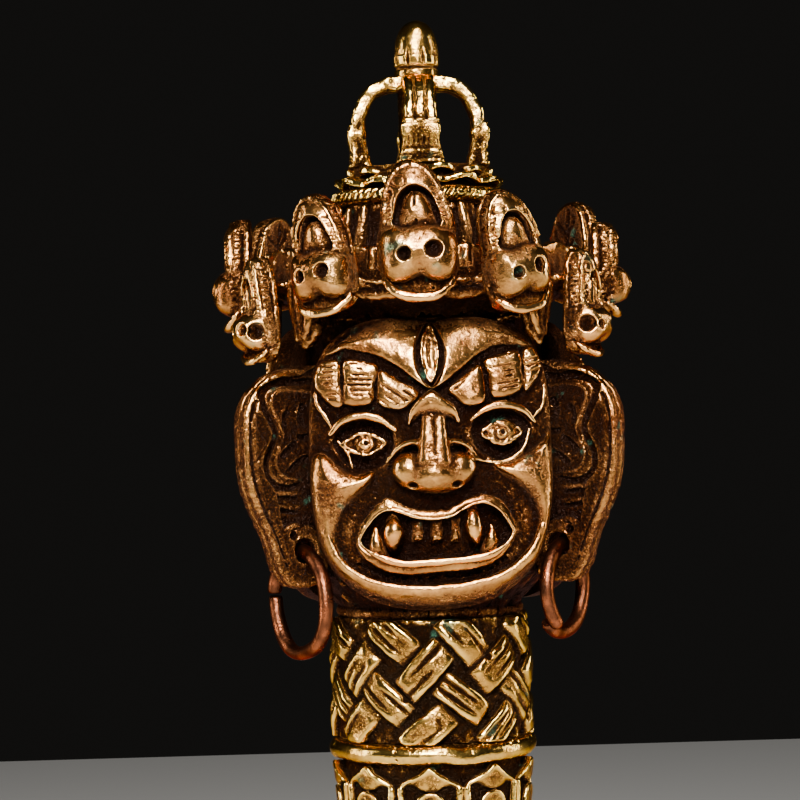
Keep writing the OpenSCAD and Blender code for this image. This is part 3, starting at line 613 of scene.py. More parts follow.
def castMetal(name, s):
    # Lost-wax cast metal, blackened and rubbed: bright on the high places, sooty and grainy in the hollows
    material, tree, shader = newMaterial(name)
    spot = (addNode(tree, "ShaderNodeTexCoord"), "Object")
    # this value darkens the metal: real patina in the hollows, and painted shade where a piece adds it
    hollow = addNode(tree, "ShaderNodeAttribute", {"attribute_name": "hollow"})
    mottle = addNode(tree, "ShaderNodeTexNoise", {"Scale": scaleFor(s["mottle"]), "Detail": 3.0}, Vector=spot)
    speck = addNode(tree, "ShaderNodeTexNoise", {"Scale": scaleFor(s["speck"]), "Detail": 4.0,
                                                 "Roughness": patina["speckRoughness"]}, Vector=spot)
    grain = addNode(tree, "ShaderNodeTexNoise", {"Scale": scaleFor(s["grain"]), "Detail": 2.0}, Vector=spot)
    # The soot's edge wanders with the mottling; specks of bare metal show through it, fewest on the high places
    mottled = addNode(tree, "ShaderNodeMath", {"operation": "MULTIPLY_ADD", 1: s["mottleShift"]},
                      i0=(mottle, "Fac"), i2=(hollow, "Fac"))
    centred = addNode(tree, "ShaderNodeMath", {"operation": "SUBTRACT", 1: 0.5 * s["mottleShift"]}, i0=(mottled, 0))
    start, end = patina["speckOver"]
    share = addNode(tree, "ShaderNodeMapRange", {1: start, 2: end, 3: s["speckHigh"], 4: s["speckLow"]},
                    i0=(centred, 0))
    wander = addNode(tree, "ShaderNodeMath", {"operation": "SUBTRACT", 1: 0.5}, i0=(speck, "Fac"))
    shift = addNode(tree, "ShaderNodeMath", {"operation": "MULTIPLY"}, i0=(wander, 0), i1=(share, 0))
    depth = addNode(tree, "ShaderNodeMath", {"operation": "ADD"}, i0=(centred, 0), i1=(shift, 0))
    tint = addNode(tree, "ShaderNodeValToRGB", {"stops": s["colours"]}, Fac=(depth, 0))
    # Slow drift of the alloy's colour
    drift = addNode(tree, "ShaderNodeTexNoise", {"Scale": scaleFor(s["drift"]), "Detail": 2.0}, Vector=spot)
    start, end = patina["driftOver"]
    warm = addNode(tree, "ShaderNodeMapRange", {1: start, 2: end, 3: 0.0, 4: s["driftShare"]}, i0=(drift, "Fac"))
    toned = addNode(tree, "ShaderNodeMix",
                    {"data_type": "RGBA", "blend_type": "MULTIPLY", 7: linear(s["driftColour"])},
                    i0=(warm, 0), i6=(tint, "Color"))
    # A little verdigris in scattered patches
    bloom = addNode(tree, "ShaderNodeTexNoise", {"Scale": scaleFor(s["bloom"]), "Detail": 3.0}, Vector=spot)
    start, end = patina["bloomOver"]
    grown = addNode(tree, "ShaderNodeMapRange", {1: start, 2: end, 3: 0.0, 4: patina["bloomShare"]}, i0=(bloom, "Fac"))
    green = addNode(tree, "ShaderNodeMix", {"data_type": "RGBA", 7: linear(patina["verdigris"])},
                    i0=(grown, 0), i6=(toned, 2))
    feed(shader, "Base Color", green, 2)
    for socket in ("Roughness", "Metallic"):
        feed(shader, socket, addNode(tree, "ShaderNodeValToRGB", {"stops": s[socket.lower()]}, Fac=(depth, 0)))
    # Casting grain stands up in the hollows and is rubbed away on the high places
    start, end = patina["grainOver"]
    pits = addNode(tree, "ShaderNodeMapRange", {1: start, 2: end, 3: s["grainHigh"], 4: s["grainLow"]}, i0=(depth, 0))
    rough = addNode(tree, "ShaderNodeMath", {"operation": "MULTIPLY"}, i0=(grain, "Fac"), i1=(pits, 0))
    # Small dents of hand work break up every highlight
    dent = addNode(tree, "ShaderNodeTexNoise", {"Scale": scaleFor(s["dent"]), "Detail": 3.0}, Vector=spot)
    worked = addNode(tree, "ShaderNodeBump", {"Strength": 1.0, "Distance": s["dentDepth"] * mm}, Height=(dent, "Fac"))
    bump = addNode(tree, "ShaderNodeBump", {"Strength": 1.0, "Distance": s["grainDepth"] * mm},
                   Height=(rough, 0), Normal=(worked, 0))
    feed(shader, "Normal", bump)
    shader.inputs["Specular Tint"].default_value = linear(s["edge"])        # the metal's own colour at glancing angles
    # Wax left by handling glints on the grains
    shader.inputs["Coat Weight"].default_value = s["wax"]
    shader.inputs["Coat Roughness"].default_value = patina["waxRoughness"]
    feed(shader, "Coat Normal", bump)
    return material


redCopper = castMetal("castRedCopperBlackenedRubbed", {
    "mottle": 2.0, "mottleShift": 0.17,
    "speck": 0.22, "speckHigh": 0.15, "speckLow": 0.85,
    "grain": 0.24, "grainHigh": 0.06, "grainLow": 1.0, "grainDepth": 0.5,
    "dent": 0.6, "dentDepth": 0.05, "wax": 0.06, "edge": "#b98a62",
    "drift": 7.0, "driftShare": 0.6, "driftColour": "#b98058", "bloom": 2.4,
    "colours": [(0.28, "#d9a45a"), (0.40, "#986b35"), (0.46, "#6f4822"), (0.51, "#4d2c12"), (0.56, "#301808"),
                (0.66, "#1a0b04")],
    "roughness": [(0.32, 0.2), (0.45, 0.27), (0.52, 0.4), (0.62, 0.46)],
    "metallic": [(0.5, 1.0), (0.58, 0.98), (0.66, 0.94)],
})
castBrass = castMetal("castBrassBlackenedRubbed", {
    "mottle": 1.7, "mottleShift": 0.15,
    "speck": 0.2, "speckHigh": 0.13, "speckLow": 0.7,
    "grain": 0.22, "grainHigh": 0.05, "grainLow": 1.0, "grainDepth": 0.5,
    "dent": 0.55, "dentDepth": 0.045, "wax": 0.04, "edge": "#c9a86c",
    "drift": 6.0, "driftShare": 0.4, "driftColour": "#d8b070", "bloom": 2.6,
    "colours": [(0.30, "#edc562"), (0.42, "#aa8038"), (0.465, "#7a5725"), (0.51, "#482b10"), (0.56, "#2b1607"),
                (0.66, "#180c04")],
    "roughness": [(0.34, 0.15), (0.46, 0.24), (0.53, 0.4), (0.62, 0.46)],
    "metallic": [(0.5, 1.0), (0.57, 0.98), (0.66, 0.93)],
})
# what each casting is: its body, its slot and its material
headCopper = ("staff", "head_copper", redCopper)
gripBrass = ("staff", "grip_brass", castBrass)
finialBrass = ("staff", "finial_brass", castBrass)
bladeBrass = ("staff", "blade_brass", castBrass)
thirds = {"front": 0, "right": 120, "left": 240}       # bearings of the three faces
report("materials made")

# The three faces
faceBox = nodeBox("face_front")
face = {
    "seat": -faceBox[1][1],                                # the flat that the mask sits on
    "middle": (faceBox[0][2] + faceBox[1][2]) / 2,
    "halfWidth": faceBox[1][0],
    "halfHeight": (faceBox[1][2] - faceBox[0][2]) / 2,
    "rim": 2.0,             # thickness at the edge
    "dome": 2.8,            # bulge from ear to ear
    "floor": -0.6,          # the blackened ground between the raised forms
    "block": ((-12.6, -2.4, -15.0), (12.6, 3.4, 15.2)),
    "finish": [(0.08, 1.5, 11), (0.03, 0.42, 12), (0.1, 0.3, 13, 0.0)],     # marks for Clay.weather
    "soot": (-0.65, 0.4, 0.075),        # see pour
    "cell": 0.105,
}


def modelForehead(w):
    # Two lobes that run down to a point between the brows
    lobes = [(-10.0, 10.6), (-7.5, 12.4), (-5.2, 13.5), (-3.1, 14.0), (-1.3, 13.9), (0.2, 13.5), (1.4, 13.8),
             (3.9, 14.2), (6.6, 13.7), (8.6, 12.6), (9.9, 11.0), (8.6, 11.2), (6.5, 11.2), (5.0, 10.6),
             (3.3, 9.3), (1.3, 7.7), (0.1, 7.2), (-0.9, 7.7), (-2.2, 8.7), (-3.9, 9.9), (-5.9, 10.8), (-8.0, 11.1)]
    w.plate(lobes, lambda x, z: 1.3 - 0.16 * (z - 7.5) - 0.012 * np.abs(x) ** 1.5, (0.6, 0.9), steps=3)
    # third eye: a leaf in a groove
    w.pit([(0.05, 13.6), (-1.05, 11.8), (-1.2, 10.4), (-0.9, 8.8), (0.05, 7.4), (0.9, 8.8), (1.3, 10.4),
           (1.1, 11.8)], -0.35, slope=0.25)
    leaf = [(0.05, 13.4), (-0.6, 12.2), (-0.8, 10.6), (-0.6, 9.1), (0.05, 7.7), (0.65, 9.1), (0.85, 10.6),
            (0.65, 12.2)]
    w.plate(leaf, lambda x, z: 0.95 - 0.13 * (z - 7.5), (0.25, 0.2))
    w.roll([(px * 0.95, 0.9 - 0.13 * (pz - 7.5), 10.5 + (pz - 10.5) * 0.95, 0.14) for px, pz in leaf], closed=True,
           steps=3)
    w.score([(0.0, 11.9), (-0.15, 10.6), (0.0, 9.3)], 0.12, 0.3)


def modelBrows(w):
    # Three tufts a side, each combed with fine cuts
    tufts = [
        ([(-10.3, 9.8), (-8.75, 10.0), (-8.65, 8.2), (-8.5, 6.0), (-9.5, 5.9), (-10.8, 7.3), (-11.2, 8.7)], 7, 0),
        ([(-8.1, 10.0), (-6.5, 9.85), (-5.05, 9.35), (-5.4, 7.9), (-5.7, 6.0), (-8.15, 6.05), (-8.2, 8.3)], 7, -3),
        ([(-4.65, 8.95), (-2.9, 7.9), (-1.2, 6.85), (-2.3, 5.55), (-3.4, 5.3), (-4.95, 5.95), (-4.95, 7.5)], 5, -34),
        ([(1.8, 7.1), (3.2, 8.2), (4.65, 9.25), (5.1, 7.9), (5.05, 5.95), (3.5, 5.5), (2.6, 6.2)], 5, 28),
        ([(5.3, 9.65), (6.9, 10.25), (8.45, 10.5), (8.8, 8.9), (8.6, 6.9), (6.1, 6.35), (5.7, 8.3)], 7, 9),
        ([(9.1, 10.55), (10.3, 10.65), (10.8, 9.3), (10.3, 8.0), (9.15, 6.8), (9.1, 8.5)], 6, 14),
    ]
    rng = np.random.default_rng(13)
    for outline, cuts, lean in tufts:
        o = np.array(outline)
        o = o.mean(0) + (o - o.mean(0)) * 1.05
        w.plate(o, 0.6, (0.3, 0.3), steps=3)
        mid, size = o.mean(0), o.max(0) - o.min(0)
        c, t = cosSin(lean)
        for k in range(cuts):
            off = size[1] * 0.86 * ((k + 0.5) / cuts - 0.5) + rng.uniform(-0.05, 0.05)
            start, end = rng.uniform(-0.62, -0.4), rng.uniform(0.4, 0.62)
            line = [(mid[0] + u * c - off * t, mid[1] + u * t + off * c) for u in np.linspace(start, end, 5) * size[0]]
            w.score(line, rng.uniform(0.12, 0.22), 0.17, steps=2)


def modelEyes(w):
    # Sunken sockets, heavy upper lids, a ball with a ring and a pupil
    for side, shift in ((-1, (0, 0)), (1, (0.35, 0.75))):
        def at(px, pz):
            return side * px + shift[0], pz + shift[1]
        socket = [at(*p) for p in [(9.2, 2.5), (8.1, 3.7), (6.5, 4.1), (4.8, 3.8), (3.8, 2.9), (3.9, 1.1),
                                   (5.0, 0.0), (6.8, -0.4), (8.0, 0.1), (8.9, 1.4)]]
        w.pit(socket, -1.5, slope=0.3)
        lid = [(9.7, 3.0, 0.15), (8.5, 4.25, 0.33), (6.5, 4.75, 0.42), (4.8, 4.3, 0.36), (3.4, 3.3, 0.15)]
        w.roll([(at(a, b)[0], -0.05, at(a, b)[1], r) for a, b, r in lid], soft=0.25)
        ball = [at(*p) for p in [(8.35, 2.1), (7.3, 2.85), (6.35, 3.05), (5.4, 2.75), (4.5, 2.1), (5.4, 1.35),
                                 (6.45, 1.0), (7.5, 1.35)]]
        w.plate(ball, -0.5, (0.5, 0.4))
        eye = at(6.4, 2.0)
        w.roll([(px, -0.36, pz, 0.17) for px, pz in ball], closed=True, steps=4, soft=0.06)
        if side > 0:        # this eye bulges
            w.ball((eye[0] + 0.1, -0.7, eye[1] + 0.1), (1.55, 0.75, 1.1), turn=20, soft=0.2)
        w.ball((eye[0], -0.72, eye[1]), (0.98, 0.72, 0.95), soft=0.05)
        w.score(circle(*eye, 0.66, 14), 0.16, 0.22, steps=2)
        w.ball((eye[0] + 0.12, -0.1, eye[1] + 0.12), (0.24, 0.3, 0.24), cut=True, soft=0.05)
    w.roll([(-8.9, -0.35, 2.3, 0.12), (-8.1, -0.35, 1.3, 0.17), (-7.8, -0.3, 0.3, 0.17), (-7.6, -0.2, -0.3, 0.1)])
    w.roll([(3.1, -0.2, 1.7, 0.12), (4.2, -0.15, 0.5, 0.17), (5.6, -0.1, 0.05, 0.18), (7.5, -0.1, 0.25, 0.17),
            (8.9, -0.1, 1.3, 0.16), (9.5, -0.2, 3.1, 0.1)])


def modelCheeks(w):
    # Thin folds that frame the brows, and soft flesh between the cheeks and the mouth
    w.roll([(-11.0, -0.35, 7.4, 0.12), (-10.9, -0.3, 5.9, 0.2), (-10.1, -0.25, 4.7, 0.2), (-9.5, -0.3, 3.6, 0.12)])
    w.roll([(11.1, -0.35, 8.6, 0.12), (11.1, -0.3, 6.6, 0.2), (10.8, -0.25, 5.2, 0.22), (10.0, -0.3, 4.3, 0.12)])
    w.roll([(-7.2, -1.6, -2.6, 1.2), (-8.2, -1.5, -5.0, 1.3), (-8.1, -1.5, -8.0, 1.3), (-6.0, -1.5, -10.9, 1.0)],
           soft=0.9)
    w.roll([(7.4, -1.6, -1.6, 1.2), (8.9, -1.5, -4.2, 1.3), (8.9, -1.5, -7.2, 1.3), (6.8, -1.5, -10.0, 1.0)],
           soft=0.9)
    # one band of flesh from cheek to cheek under the chin
    jaw = [(-11.3, 1.1), (-10.1, 1.15), (-8.7, -0.2), (-7.2, -0.8), (-5.6, -0.6), (-5.7, -1.5), (-7.2, -2.9),
           (-8.4, -4.3), (-9.0, -5.8), (-9.1, -7.3), (-8.5, -9.2), (-6.6, -10.8), (-3.4, -11.4), (0.0, -11.55),
           (4.0, -11.25), (7.2, -10.1), (8.9, -8.4), (9.8, -6.4), (9.9, -4.9), (9.1, -3.1), (7.6, -1.6),
           (5.8, -0.3), (7.5, 0.0), (9.6, 1.2), (10.9, 2.1), (11.6, 2.2), (12.0, -3.1), (11.5, -6.2),
           (10.5, -8.9), (8.6, -11.0), (5.6, -12.9), (2.5, -13.7), (0, -13.9), (-3, -13.6), (-6, -12.7),
           (-8.9, -10.9), (-10.6, -8.6), (-11.5, -5.6), (-11.9, -1)]
    w.plate(jaw, lambda x, z: 0.75 + 0.6 * np.exp(-((z + 1.6) / 3.2) ** 2), (1.0, 0.8), soft=0.45, steps=3,
            corner=0.7)
    w.roll([(-10.3, 0.15, -6.6, 0.3), (-8.9, 0.2, -9.3, 0.42), (-6.5, 0.2, -11.1, 0.5), (-3.4, 0.2, -11.95, 0.55),
            (-0.3, 0.2, -12.15, 0.6), (3.9, 0.2, -11.75, 0.55), (7.0, 0.2, -10.75, 0.5), (9.3, 0.2, -8.9, 0.42),
            (10.6, 0.15, -6.4, 0.3)], soft=0.45)


def modelNose(w):
    # A bridge in two strands over one broad bulb, and a knob at its root
    w.ball((0.15, 0.2, -0.95), (3.8, 1.6, 1.85), soft=0.4)
    w.ball((0.15, 0.95, -0.95), (2.0, 1.65, 1.6), soft=0.8)
    for side in (-1, 1):
        w.ball((side * 2.45 + 0.12, 0.4, -0.45), (1.6, 1.45, 1.5), soft=0.5)
        w.roll([(side * 0.95 + 0.1, 0.9, 1.75, 0.2), (side * 2.0 + 0.15, 0.5, 2.15, 0.24),
                (side * 3.3 + 0.15, 0.0, 1.6, 0.22), (side * 4.4 + 0.1, -0.4, 0.3, 0.14)])
        w.score([(side * 1.15 + 0.1, 1.1), (side * 2.1 + 0.1, 1.35), (side * 3.3 + 0.1, 0.95), (side * 4.15, -0.4)],
                0.35, 0.42)
        w.ball((side * 2.15 + 0.2, 1.3, -2.05), (0.5, 0.8, 0.36), cut=True, soft=0.1)
    w.roll([(0.2, -0.5, 4.8, 1.1), (0.2, 0.15, 2.6, 1.3), (0.2, 0.85, 0.4, 1.5)], soft=0.5)
    w.roll([(-0.45, 0.3, 4.5, 0.42), (-0.5, 0.95, 2.6, 0.55), (-0.65, 1.5, 0.4, 0.75)], soft=0.4)
    w.roll([(0.85, 0.3, 4.5, 0.42), (0.85, 0.95, 2.6, 0.58), (1.0, 1.5, 0.4, 0.75)], soft=0.4)
    w.score([(0.2, 4.4), (0.22, 2.6), (0.2, 1.0)], 0.1, 0.3)
    knob = [(-2.3, 3.8), (-1.95, 5.4), (-0.95, 6.35), (0.05, 7.1), (1.2, 6.3), (2.35, 5.5), (2.8, 3.9), (1.8, 4.3),
            (0.2, 4.75), (-1.1, 4.5)]
    w.plate(knob, lambda x, z: 1.25 - 0.13 * (x - 0.2) ** 2 - 0.1 * (z - 5.9) ** 2, (0.7, 0.4), soft=0.1, corner=0.3)
    w.roll([(-2.1, -0.1, 3.9, 0.2), (-1.7, 0.45, 5.2, 0.24), (-0.85, 0.85, 6.05, 0.26), (0.1, 0.95, 6.5, 0.28),
            (1.1, 0.85, 5.95, 0.26), (2.1, 0.45, 5.2, 0.24), (2.6, -0.1, 4.0, 0.2)], soft=0.4)


def modelMouth(w):
    # A raised rim, a deep opening, three teeth and four fangs
    outer = [(-7.5, -7.1), (-7.0, -6.0), (-6.1, -4.6), (-5.2, -3.6), (-4.2, -3.2), (-3.1, -3.8), (-1.7, -4.3),
             (-0.1, -4.45), (1.6, -4.3), (2.8, -3.7), (4.1, -3.1), (5.1, -3.05), (6.6, -3.7), (7.8, -5.4),
             (8.2, -6.4), (7.8, -7.5), (6.7, -8.8), (5.0, -9.9), (1.9, -10.4), (-0.2, -10.5), (-2.9, -10.55),
             (-4.8, -10.2), (-6.4, -9.2), (-7.3, -8.1)]
    inner = [(-6.9, -7.2), (-6.3, -6.0), (-5.4, -4.95), (-4.3, -4.4), (-3.2, -4.55), (-1.7, -5.1), (-0.1, -5.35),
             (1.6, -5.15), (2.8, -4.5), (3.9, -4.0), (5.1, -3.95), (6.3, -4.7), (7.2, -6.0), (7.5, -6.8),
             (6.7, -7.9), (5.0, -8.85), (1.9, -9.2), (-0.2, -9.35), (-2.9, -9.35), (-4.7, -8.9), (-6.2, -8.1)]
    w.plate(outer, lambda x, z: 0.05 + 0.55 * unit((-7.2 - z) / 2.0), (0.35, 0.4), soft=0.2, steps=3)
    w.pit(inner, -1.7, slope=0.12, steps=3)
    mouth = [(px * 1.025, (pz + 7) * 1.045 - 7) for px, pz in inner]
    rimmed = [(px, 0.28 + 0.4 * min(max((-7.0 - pz) / 2.0, 0), 1), pz, 0.15 + (0.24 if pz < -8.2 else 0))
              for px, pz in mouth]
    w.roll(rimmed, closed=True, steps=4, soft=0.12)
    w.score([(-7.2, -9.4), (-5.2, -10.6), (-2.5, -10.95), (0, -11.0), (2.5, -10.85), (5.2, -10.35), (7.4, -8.9)],
            0.5, 0.5)
    for low, high, deep in ((-2.1, -0.95, -1.0), (-0.25, 0.9, -0.85), (1.7, 2.65, -0.95)):
        w.plate([(low, -5.4), (high, -5.4), (high - 0.05, -7.45), (low + 0.05, -7.6)], deep, (0.35, 0.25), steps=1)
    for fang in ([(-3.9, -0.7, -5.3, 0.5), (-3.85, -0.15, -6.3, 0.9), (-3.9, -0.1, -7.1, 0.85),
                  (-3.95, -0.2, -7.9, 0.45), (-4.0, -0.35, -8.3, 0.12)],
                 [(3.75, -0.7, -4.4, 0.45), (3.8, -0.15, -5.3, 0.72), (3.9, -0.1, -6.4, 0.74),
                  (4.05, -0.2, -7.4, 0.4), (4.1, -0.35, -7.9, 0.12)],
                 [(-5.5, -0.5, -6.0, 0.12), (-5.55, -0.3, -6.9, 0.45), (-5.5, -0.35, -7.9, 0.75),
                  (-5.2, -0.6, -8.8, 0.85)],
                 [(5.55, -0.6, -6.0, 0.12), (5.6, -0.45, -6.8, 0.42), (5.55, -0.55, -7.7, 0.68),
                  (5.3, -0.8, -8.5, 0.8)]):
        w.roll(fang, soft=0.08)


def sculptFace(s):
    w = Clay(*s["block"], s["cell"])
    w.ground(s["floor"])
    for model in (modelForehead, modelBrows, modelEyes, modelCheeks, modelNose, modelMouth):
        model(w)
    # hand-cut lines on the left cheek
    for k in range(4):
        w.score([(-11.0, -2.1 - 0.55 * k), (-10.2, -2.2 - 0.55 * k), (-9.5, -2.1 - 0.55 * k)], 0.06, 0.16, steps=2)
    w.weather(*s["finish"])
    # the outline of the mask
    rim = [(0, -14.2), (3.5, -13.9), (6.6, -12.8), (9.2, -10.7), (10.7, -8.2), (11.5, -4.5), (11.75, -1),
           (11.7, 3), (11.5, 6.5), (11.0, 9.2), (9.8, 11.5), (7.6, 13.2), (4.6, 14.05), (1.6, 14.15), (0, 14.1)]
    rim = rim + [(-px, pz) for px, pz in rim[-2:0:-1]]
    path = smoothPath(rim, 4, True)
    w.trim(lambda x, y, z: outlineDistance(path, x[:, 0], z[:, 0])[:, None, :], 0.5)
    cast = pour(w, soot=s["soot"])
    # soot and painted shade in a band round the mask's edge, where it meets the pieces beside it
    x, y, z = cast.points.T
    cast.hollow = cast.hollow + 0.05 * unit((outlineDistance(path, x, z) + 1.1) / 0.8) * (y < 0.6)
    # painted light and shade: the raised forehead is lightened as if lit, and the cheeks' sides and the chin's
    # underside, which turn away from the lamps, are darkened
    cheeks, chin, forehead = unit((np.abs(x) - 8.0) / 2.5) * (z < 5), unit((-12.2 - z) / 1.4), unit((z - 8.5) / 1.5)
    cast.hollow = cast.hollow + 0.03 * cheeks + 0.035 * chin - 0.04 * forehead * (y > 0.2)
    return cast


def placeFace(s, turn):
    put = facing(turn, 0, s["middle"])

    def place(p):
        across = unit(1 - (p[:, 0] / (s["halfWidth"] + 0.6)) ** 2) ** 0.6
        along = unit(1 - np.abs(p[:, 2] / (s["halfHeight"] + 1.2)) ** 2.8) ** 0.6
        p[:, 1] += s["seat"] + s["rim"] + s["dome"] * across * along
        p[:, 1] = np.maximum(p[:, 1], s["seat"])
        return put(p)
    return place


faceCast = sculptFace(face)
for side, turn in thirds.items():
    addPiece("mask_" + side, faceCast, placeFace(face, turn), headCopper, "face_" + side)
report("faces: %d quads each" % len(faceCast.quads))

# Skulls under their hoods
skulls = {
    "seat": 17.0,                       # the band's flats
    "turn": -3.0,                       # the crown sits a little askew
    "pitch": 30.0,
    "pivot": 4.5,                       # height in a skull that it leans about
    "kinds": ["middle", "side", "corner", "side"],
    "width": {"middle": 7.2, "side": 6.2, "corner": 4.6},
    "cell": {"middle": 0.1, "side": 0.1, "corner": 0.085},
    "finish": [(0.07, 1.3, 21), (0.03, 0.45, 22), (0.08, 0.3, 23, 2.4)],
    "soot": (0.3, 2.8, 0.08),
    # set one by one: degrees that one leans, share of its height that shows, and how far it has slipped down
    "set": {"skull_front_right_side": (9, 1, 0), "skull_front_left_side": (4, 1, 0),
            "skull_right_middle": (2, 0.8, 0), "skull_left_middle": (-3, 0.74, 0),
            "skull_right_left_side": (0, 0.8, 0.2), "skull_left_right_side": (0, 0.95, 0.8)},
    "names": ["skull_front_middle", "skull_front_right_side", "skull_over_right_ears", "skull_right_left_side",
              "skull_right_middle", "skull_right_right_side", "skull_over_back_ears", "skull_left_left_side",
              "skull_left_middle", "skull_left_right_side", "skull_over_left_ears", "skull_front_left_side"],
}


def sculptSkull(s, kind, height):
    # Modelled as a 7.2 mm wide, 13.5 mm tall leaf and drawn out to the size asked for
    fx, fz = s["width"][kind] / 7.2, height / 13.5
    fr = math.sqrt(fx * fz)

    tall = 1.3 if kind == "corner" else 1.0        # the corner hoods reach up past their skulls

    def up(pz):
        return (pz if pz < 7.5 else 7.5 + (pz - 7.5) * tall) * fz

    def at(points):
        return [(px * fx, up(pz)) for px, pz in points]

    def rolls(points):
        return [(px * fx, ph, up(pz), r * fr) for px, ph, pz, r in points]
    w = Clay((-4.1 * fx, -0.3, -0.4), (4.1 * fx, 4.5, up(13.7)), s["cell"][kind])
    # the hood: a thick leaf with a rolled rim, and a tongue in a narrow arch
    hood = [(-3.3, 2.0), (-3.55, 7.0), (-3.5, 9.4), (-3.1, 11.5), (-2.2, 12.9), (-0.9, 13.4), (0.4, 13.1),
            (1.7, 12.0), (2.7, 10.0), (3.3, 8.0), (3.5, 6.5), (3.2, 2.0)]
    w.plate(at(hood), lambda x, z: 3.0 - 0.025 * (z - 8.5 * fz) ** 2 - 0.05 * x * x, (1.1, 0.7), steps=3, floor=-0.3)
    arch = [(-2.0, 7.0), (-2.1, 8.7), (-1.7, 10.0), (-0.9, 10.8), (0.1, 10.8), (1.0, 10.2), (1.6, 9.1), (1.9, 7.0)]
    w.pit(at(arch), 1.3, slope=0.1, steps=3)
    tongue = [(-1.6, 6.8), (-1.65, 8.5), (-1.3, 9.7), (-0.6, 10.35), (0.2, 10.35), (0.9, 9.7), (1.3, 8.7), (1.5, 6.8)]
    w.plate(at(tongue), 2.75, (0.7, 0.45), soft=0.1, steps=3)
    if kind != "side":
        w.score(at([(-0.2, 7.6), (-0.3, 9.2), (-0.3, 10.4)]), 0.3, 0.3)
    w.score(at([(-2.6, 11.2), (-2.0, 11.9), (-1.3, 11.7), (-1.2, 11.1), (-1.9, 10.8), (-2.6, 11.2)]), 0.12, 0.22)
    rim = at([(-2.75, 7.4), (-2.85, 9.0), (-2.65, 10.4)])
    border = [(-3.15, 7.4), (-3.1, 9.6), (-2.7, 11.3), (-1.9, 12.5), (-0.8, 12.95), (0.3, 12.65), (1.4, 11.6),
              (2.35, 9.8), (2.95, 7.9)]
    w.score(at(border), -0.14, 0.34)
    for px, pz in smoothPath(rim, 4):
        w.score([(px - 0.32 * fx, pz - 0.06), (px + 0.36 * fx, pz + 0.06)], 0.2, 0.22, steps=1)
    for px, pz in smoothPath(at([(2.5, 7.8), (2.1, 9.3), (1.5, 10.6)]), 4):
        w.score([(px - 0.25 * fx, pz + 0.03), (px + 0.3 * fx, pz - 0.06)], 0.16, 0.22, steps=1)
    # strands run down its flanks with a comb edge between them, and veins spread in its back
    for flank in ([(-3.25, 2.4), (-3.55, 7.0), (-3.5, 9.4), (-3.1, 11.5), (-2.2, 12.9)],
                  [(3.2, 2.4), (3.5, 6.5), (3.3, 8.0), (2.7, 10.0), (1.7, 12.0)]):
        for deep in (0.75, 1.75):
            w.roll(rolls([(px, deep, pz, 0.24) for px, pz in flank]), soft=0.08, cut=True)
        for px, pz in smoothPath(flank, 5):
            w.roll([(px * fx, 1.05, up(pz), 0.13), (px * fx, 1.5, up(pz), 0.13)], soft=0.04, cut=True, steps=1)
    w.roll(rolls([(0, 0, 2.5, 0.3), (-0.2, 0, 8, 0.35), (-0.7, 0, 12.3, 0.2)]), soft=0.1, cut=True)
    for k in range(4):
        for side in (-1, 1):
            w.roll(rolls([(-0.2, 0, 3.2 + 2 * k, 0.25), (side * 1.4, 0, 4.6 + 2 * k, 0.25),
                          (side * (2.4 - 0.25 * k), 0, 6.2 + 1.8 * k, 0.14)]), soft=0.08, cut=True, steps=3)
    # the skull: a square block with two lobes below, round sockets with rims
    w.plate(at([(-3.2, 1.4), (-3.5, 4), (-3.5, 6.4), (-2.4, 7.3), (0, 7.5), (2.4, 7.1), (3.5, 6.2), (3.55, 4),
                (3.2, 1.6), (1.5, 0.6), (-1.5, 0.5)]), 1.8, (0.4, 0.4), steps=3, floor=-0.3)
    block = [(-3.55, 4.2), (-3.55, 6.2), (-2.6, 7.25), (-1.3, 7.1), (0.1, 7.45), (1.4, 7.3), (2.6, 6.9), (3.5, 6.0),
             (3.6, 4.2), (3.3, 2.75), (2.3, 2.1), (1.2, 2.1), (0.35, 2.5), (-0.3, 2.4), (-1.2, 2.0), (-2.3, 1.95),
             (-3.25, 2.7)]
    w.plate(at(block), lambda x, z: 3.95 - 0.05 * (x / fx) ** 2 - 0.05 * (z / fz - 4.4) ** 2, (1.15, 0.6), soft=0.15,
            steps=3)
    brow = [(-3.7, 2.3, 6.6), (-2.5, 2.9, 7.35), (-1.2, 3.0, 7.35), (0.1, 3.05, 7.75), (1.3, 3.0, 7.55),
            (2.4, 2.9, 7.2), (3.7, 2.3, 6.2)]
    w.roll(rolls([(px, ph, pz, 0.3) for px, ph, pz in brow]), soft=0.1, cut=True)
    w.roll(rolls([(px, ph + 0.4, pz, 0.26) for px, ph, pz in brow]), soft=0.1, cut=True)
    w.ball((0.1 * fx, 3.4, 2.2 * fz), (0.45 * fx, 0.9, 0.6 * fz), soft=0.15, cut=True)
    if kind == "corner":        # its sockets look sideways
        for side in (-1, 1):
            w.ball((side * 3.3 * fx, 2.6, 4.7 * fz), (0.9, 0.85, 0.85), soft=0.2, cut=True)
    for ex, ez, er in ((-1.4, 4.55, 0.64), (1.4, 4.95, 0.78)):
        w.score(at(circle(ex, ez, er * 1.15, 11)), -0.05, 0.4, steps=2)
        w.ball((ex * fx, 3.7, ez * fz), (er * fx, 1.1, er * 1.06 * fz), turn=-14, soft=0.25, cut=True)
    # the jaw hangs under a slit
    w.roll(rolls([(-3.2, 1.5, 1.9, 0.32), (-2.3, 2.2, 1.0, 0.42), (-1.0, 2.4, 0.6, 0.5), (0.3, 2.5, 0.5, 0.5),
                  (1.8, 2.3, 0.75, 0.45), (3.2, 1.5, 1.9, 0.32)]), soft=0.25)
    w.score(at([(-3.4, 2.5), (-2.2, 1.6), (-1.1, 1.35), (0.1, 1.9), (1.2, 1.35), (2.2, 1.55), (3.4, 2.4)]), 0.5, 0.34)
    w.weather(*s["finish"])
    w.trim(lambda x, y, z: -y, 0.25)
    return pour(w, soot=s["soot"])


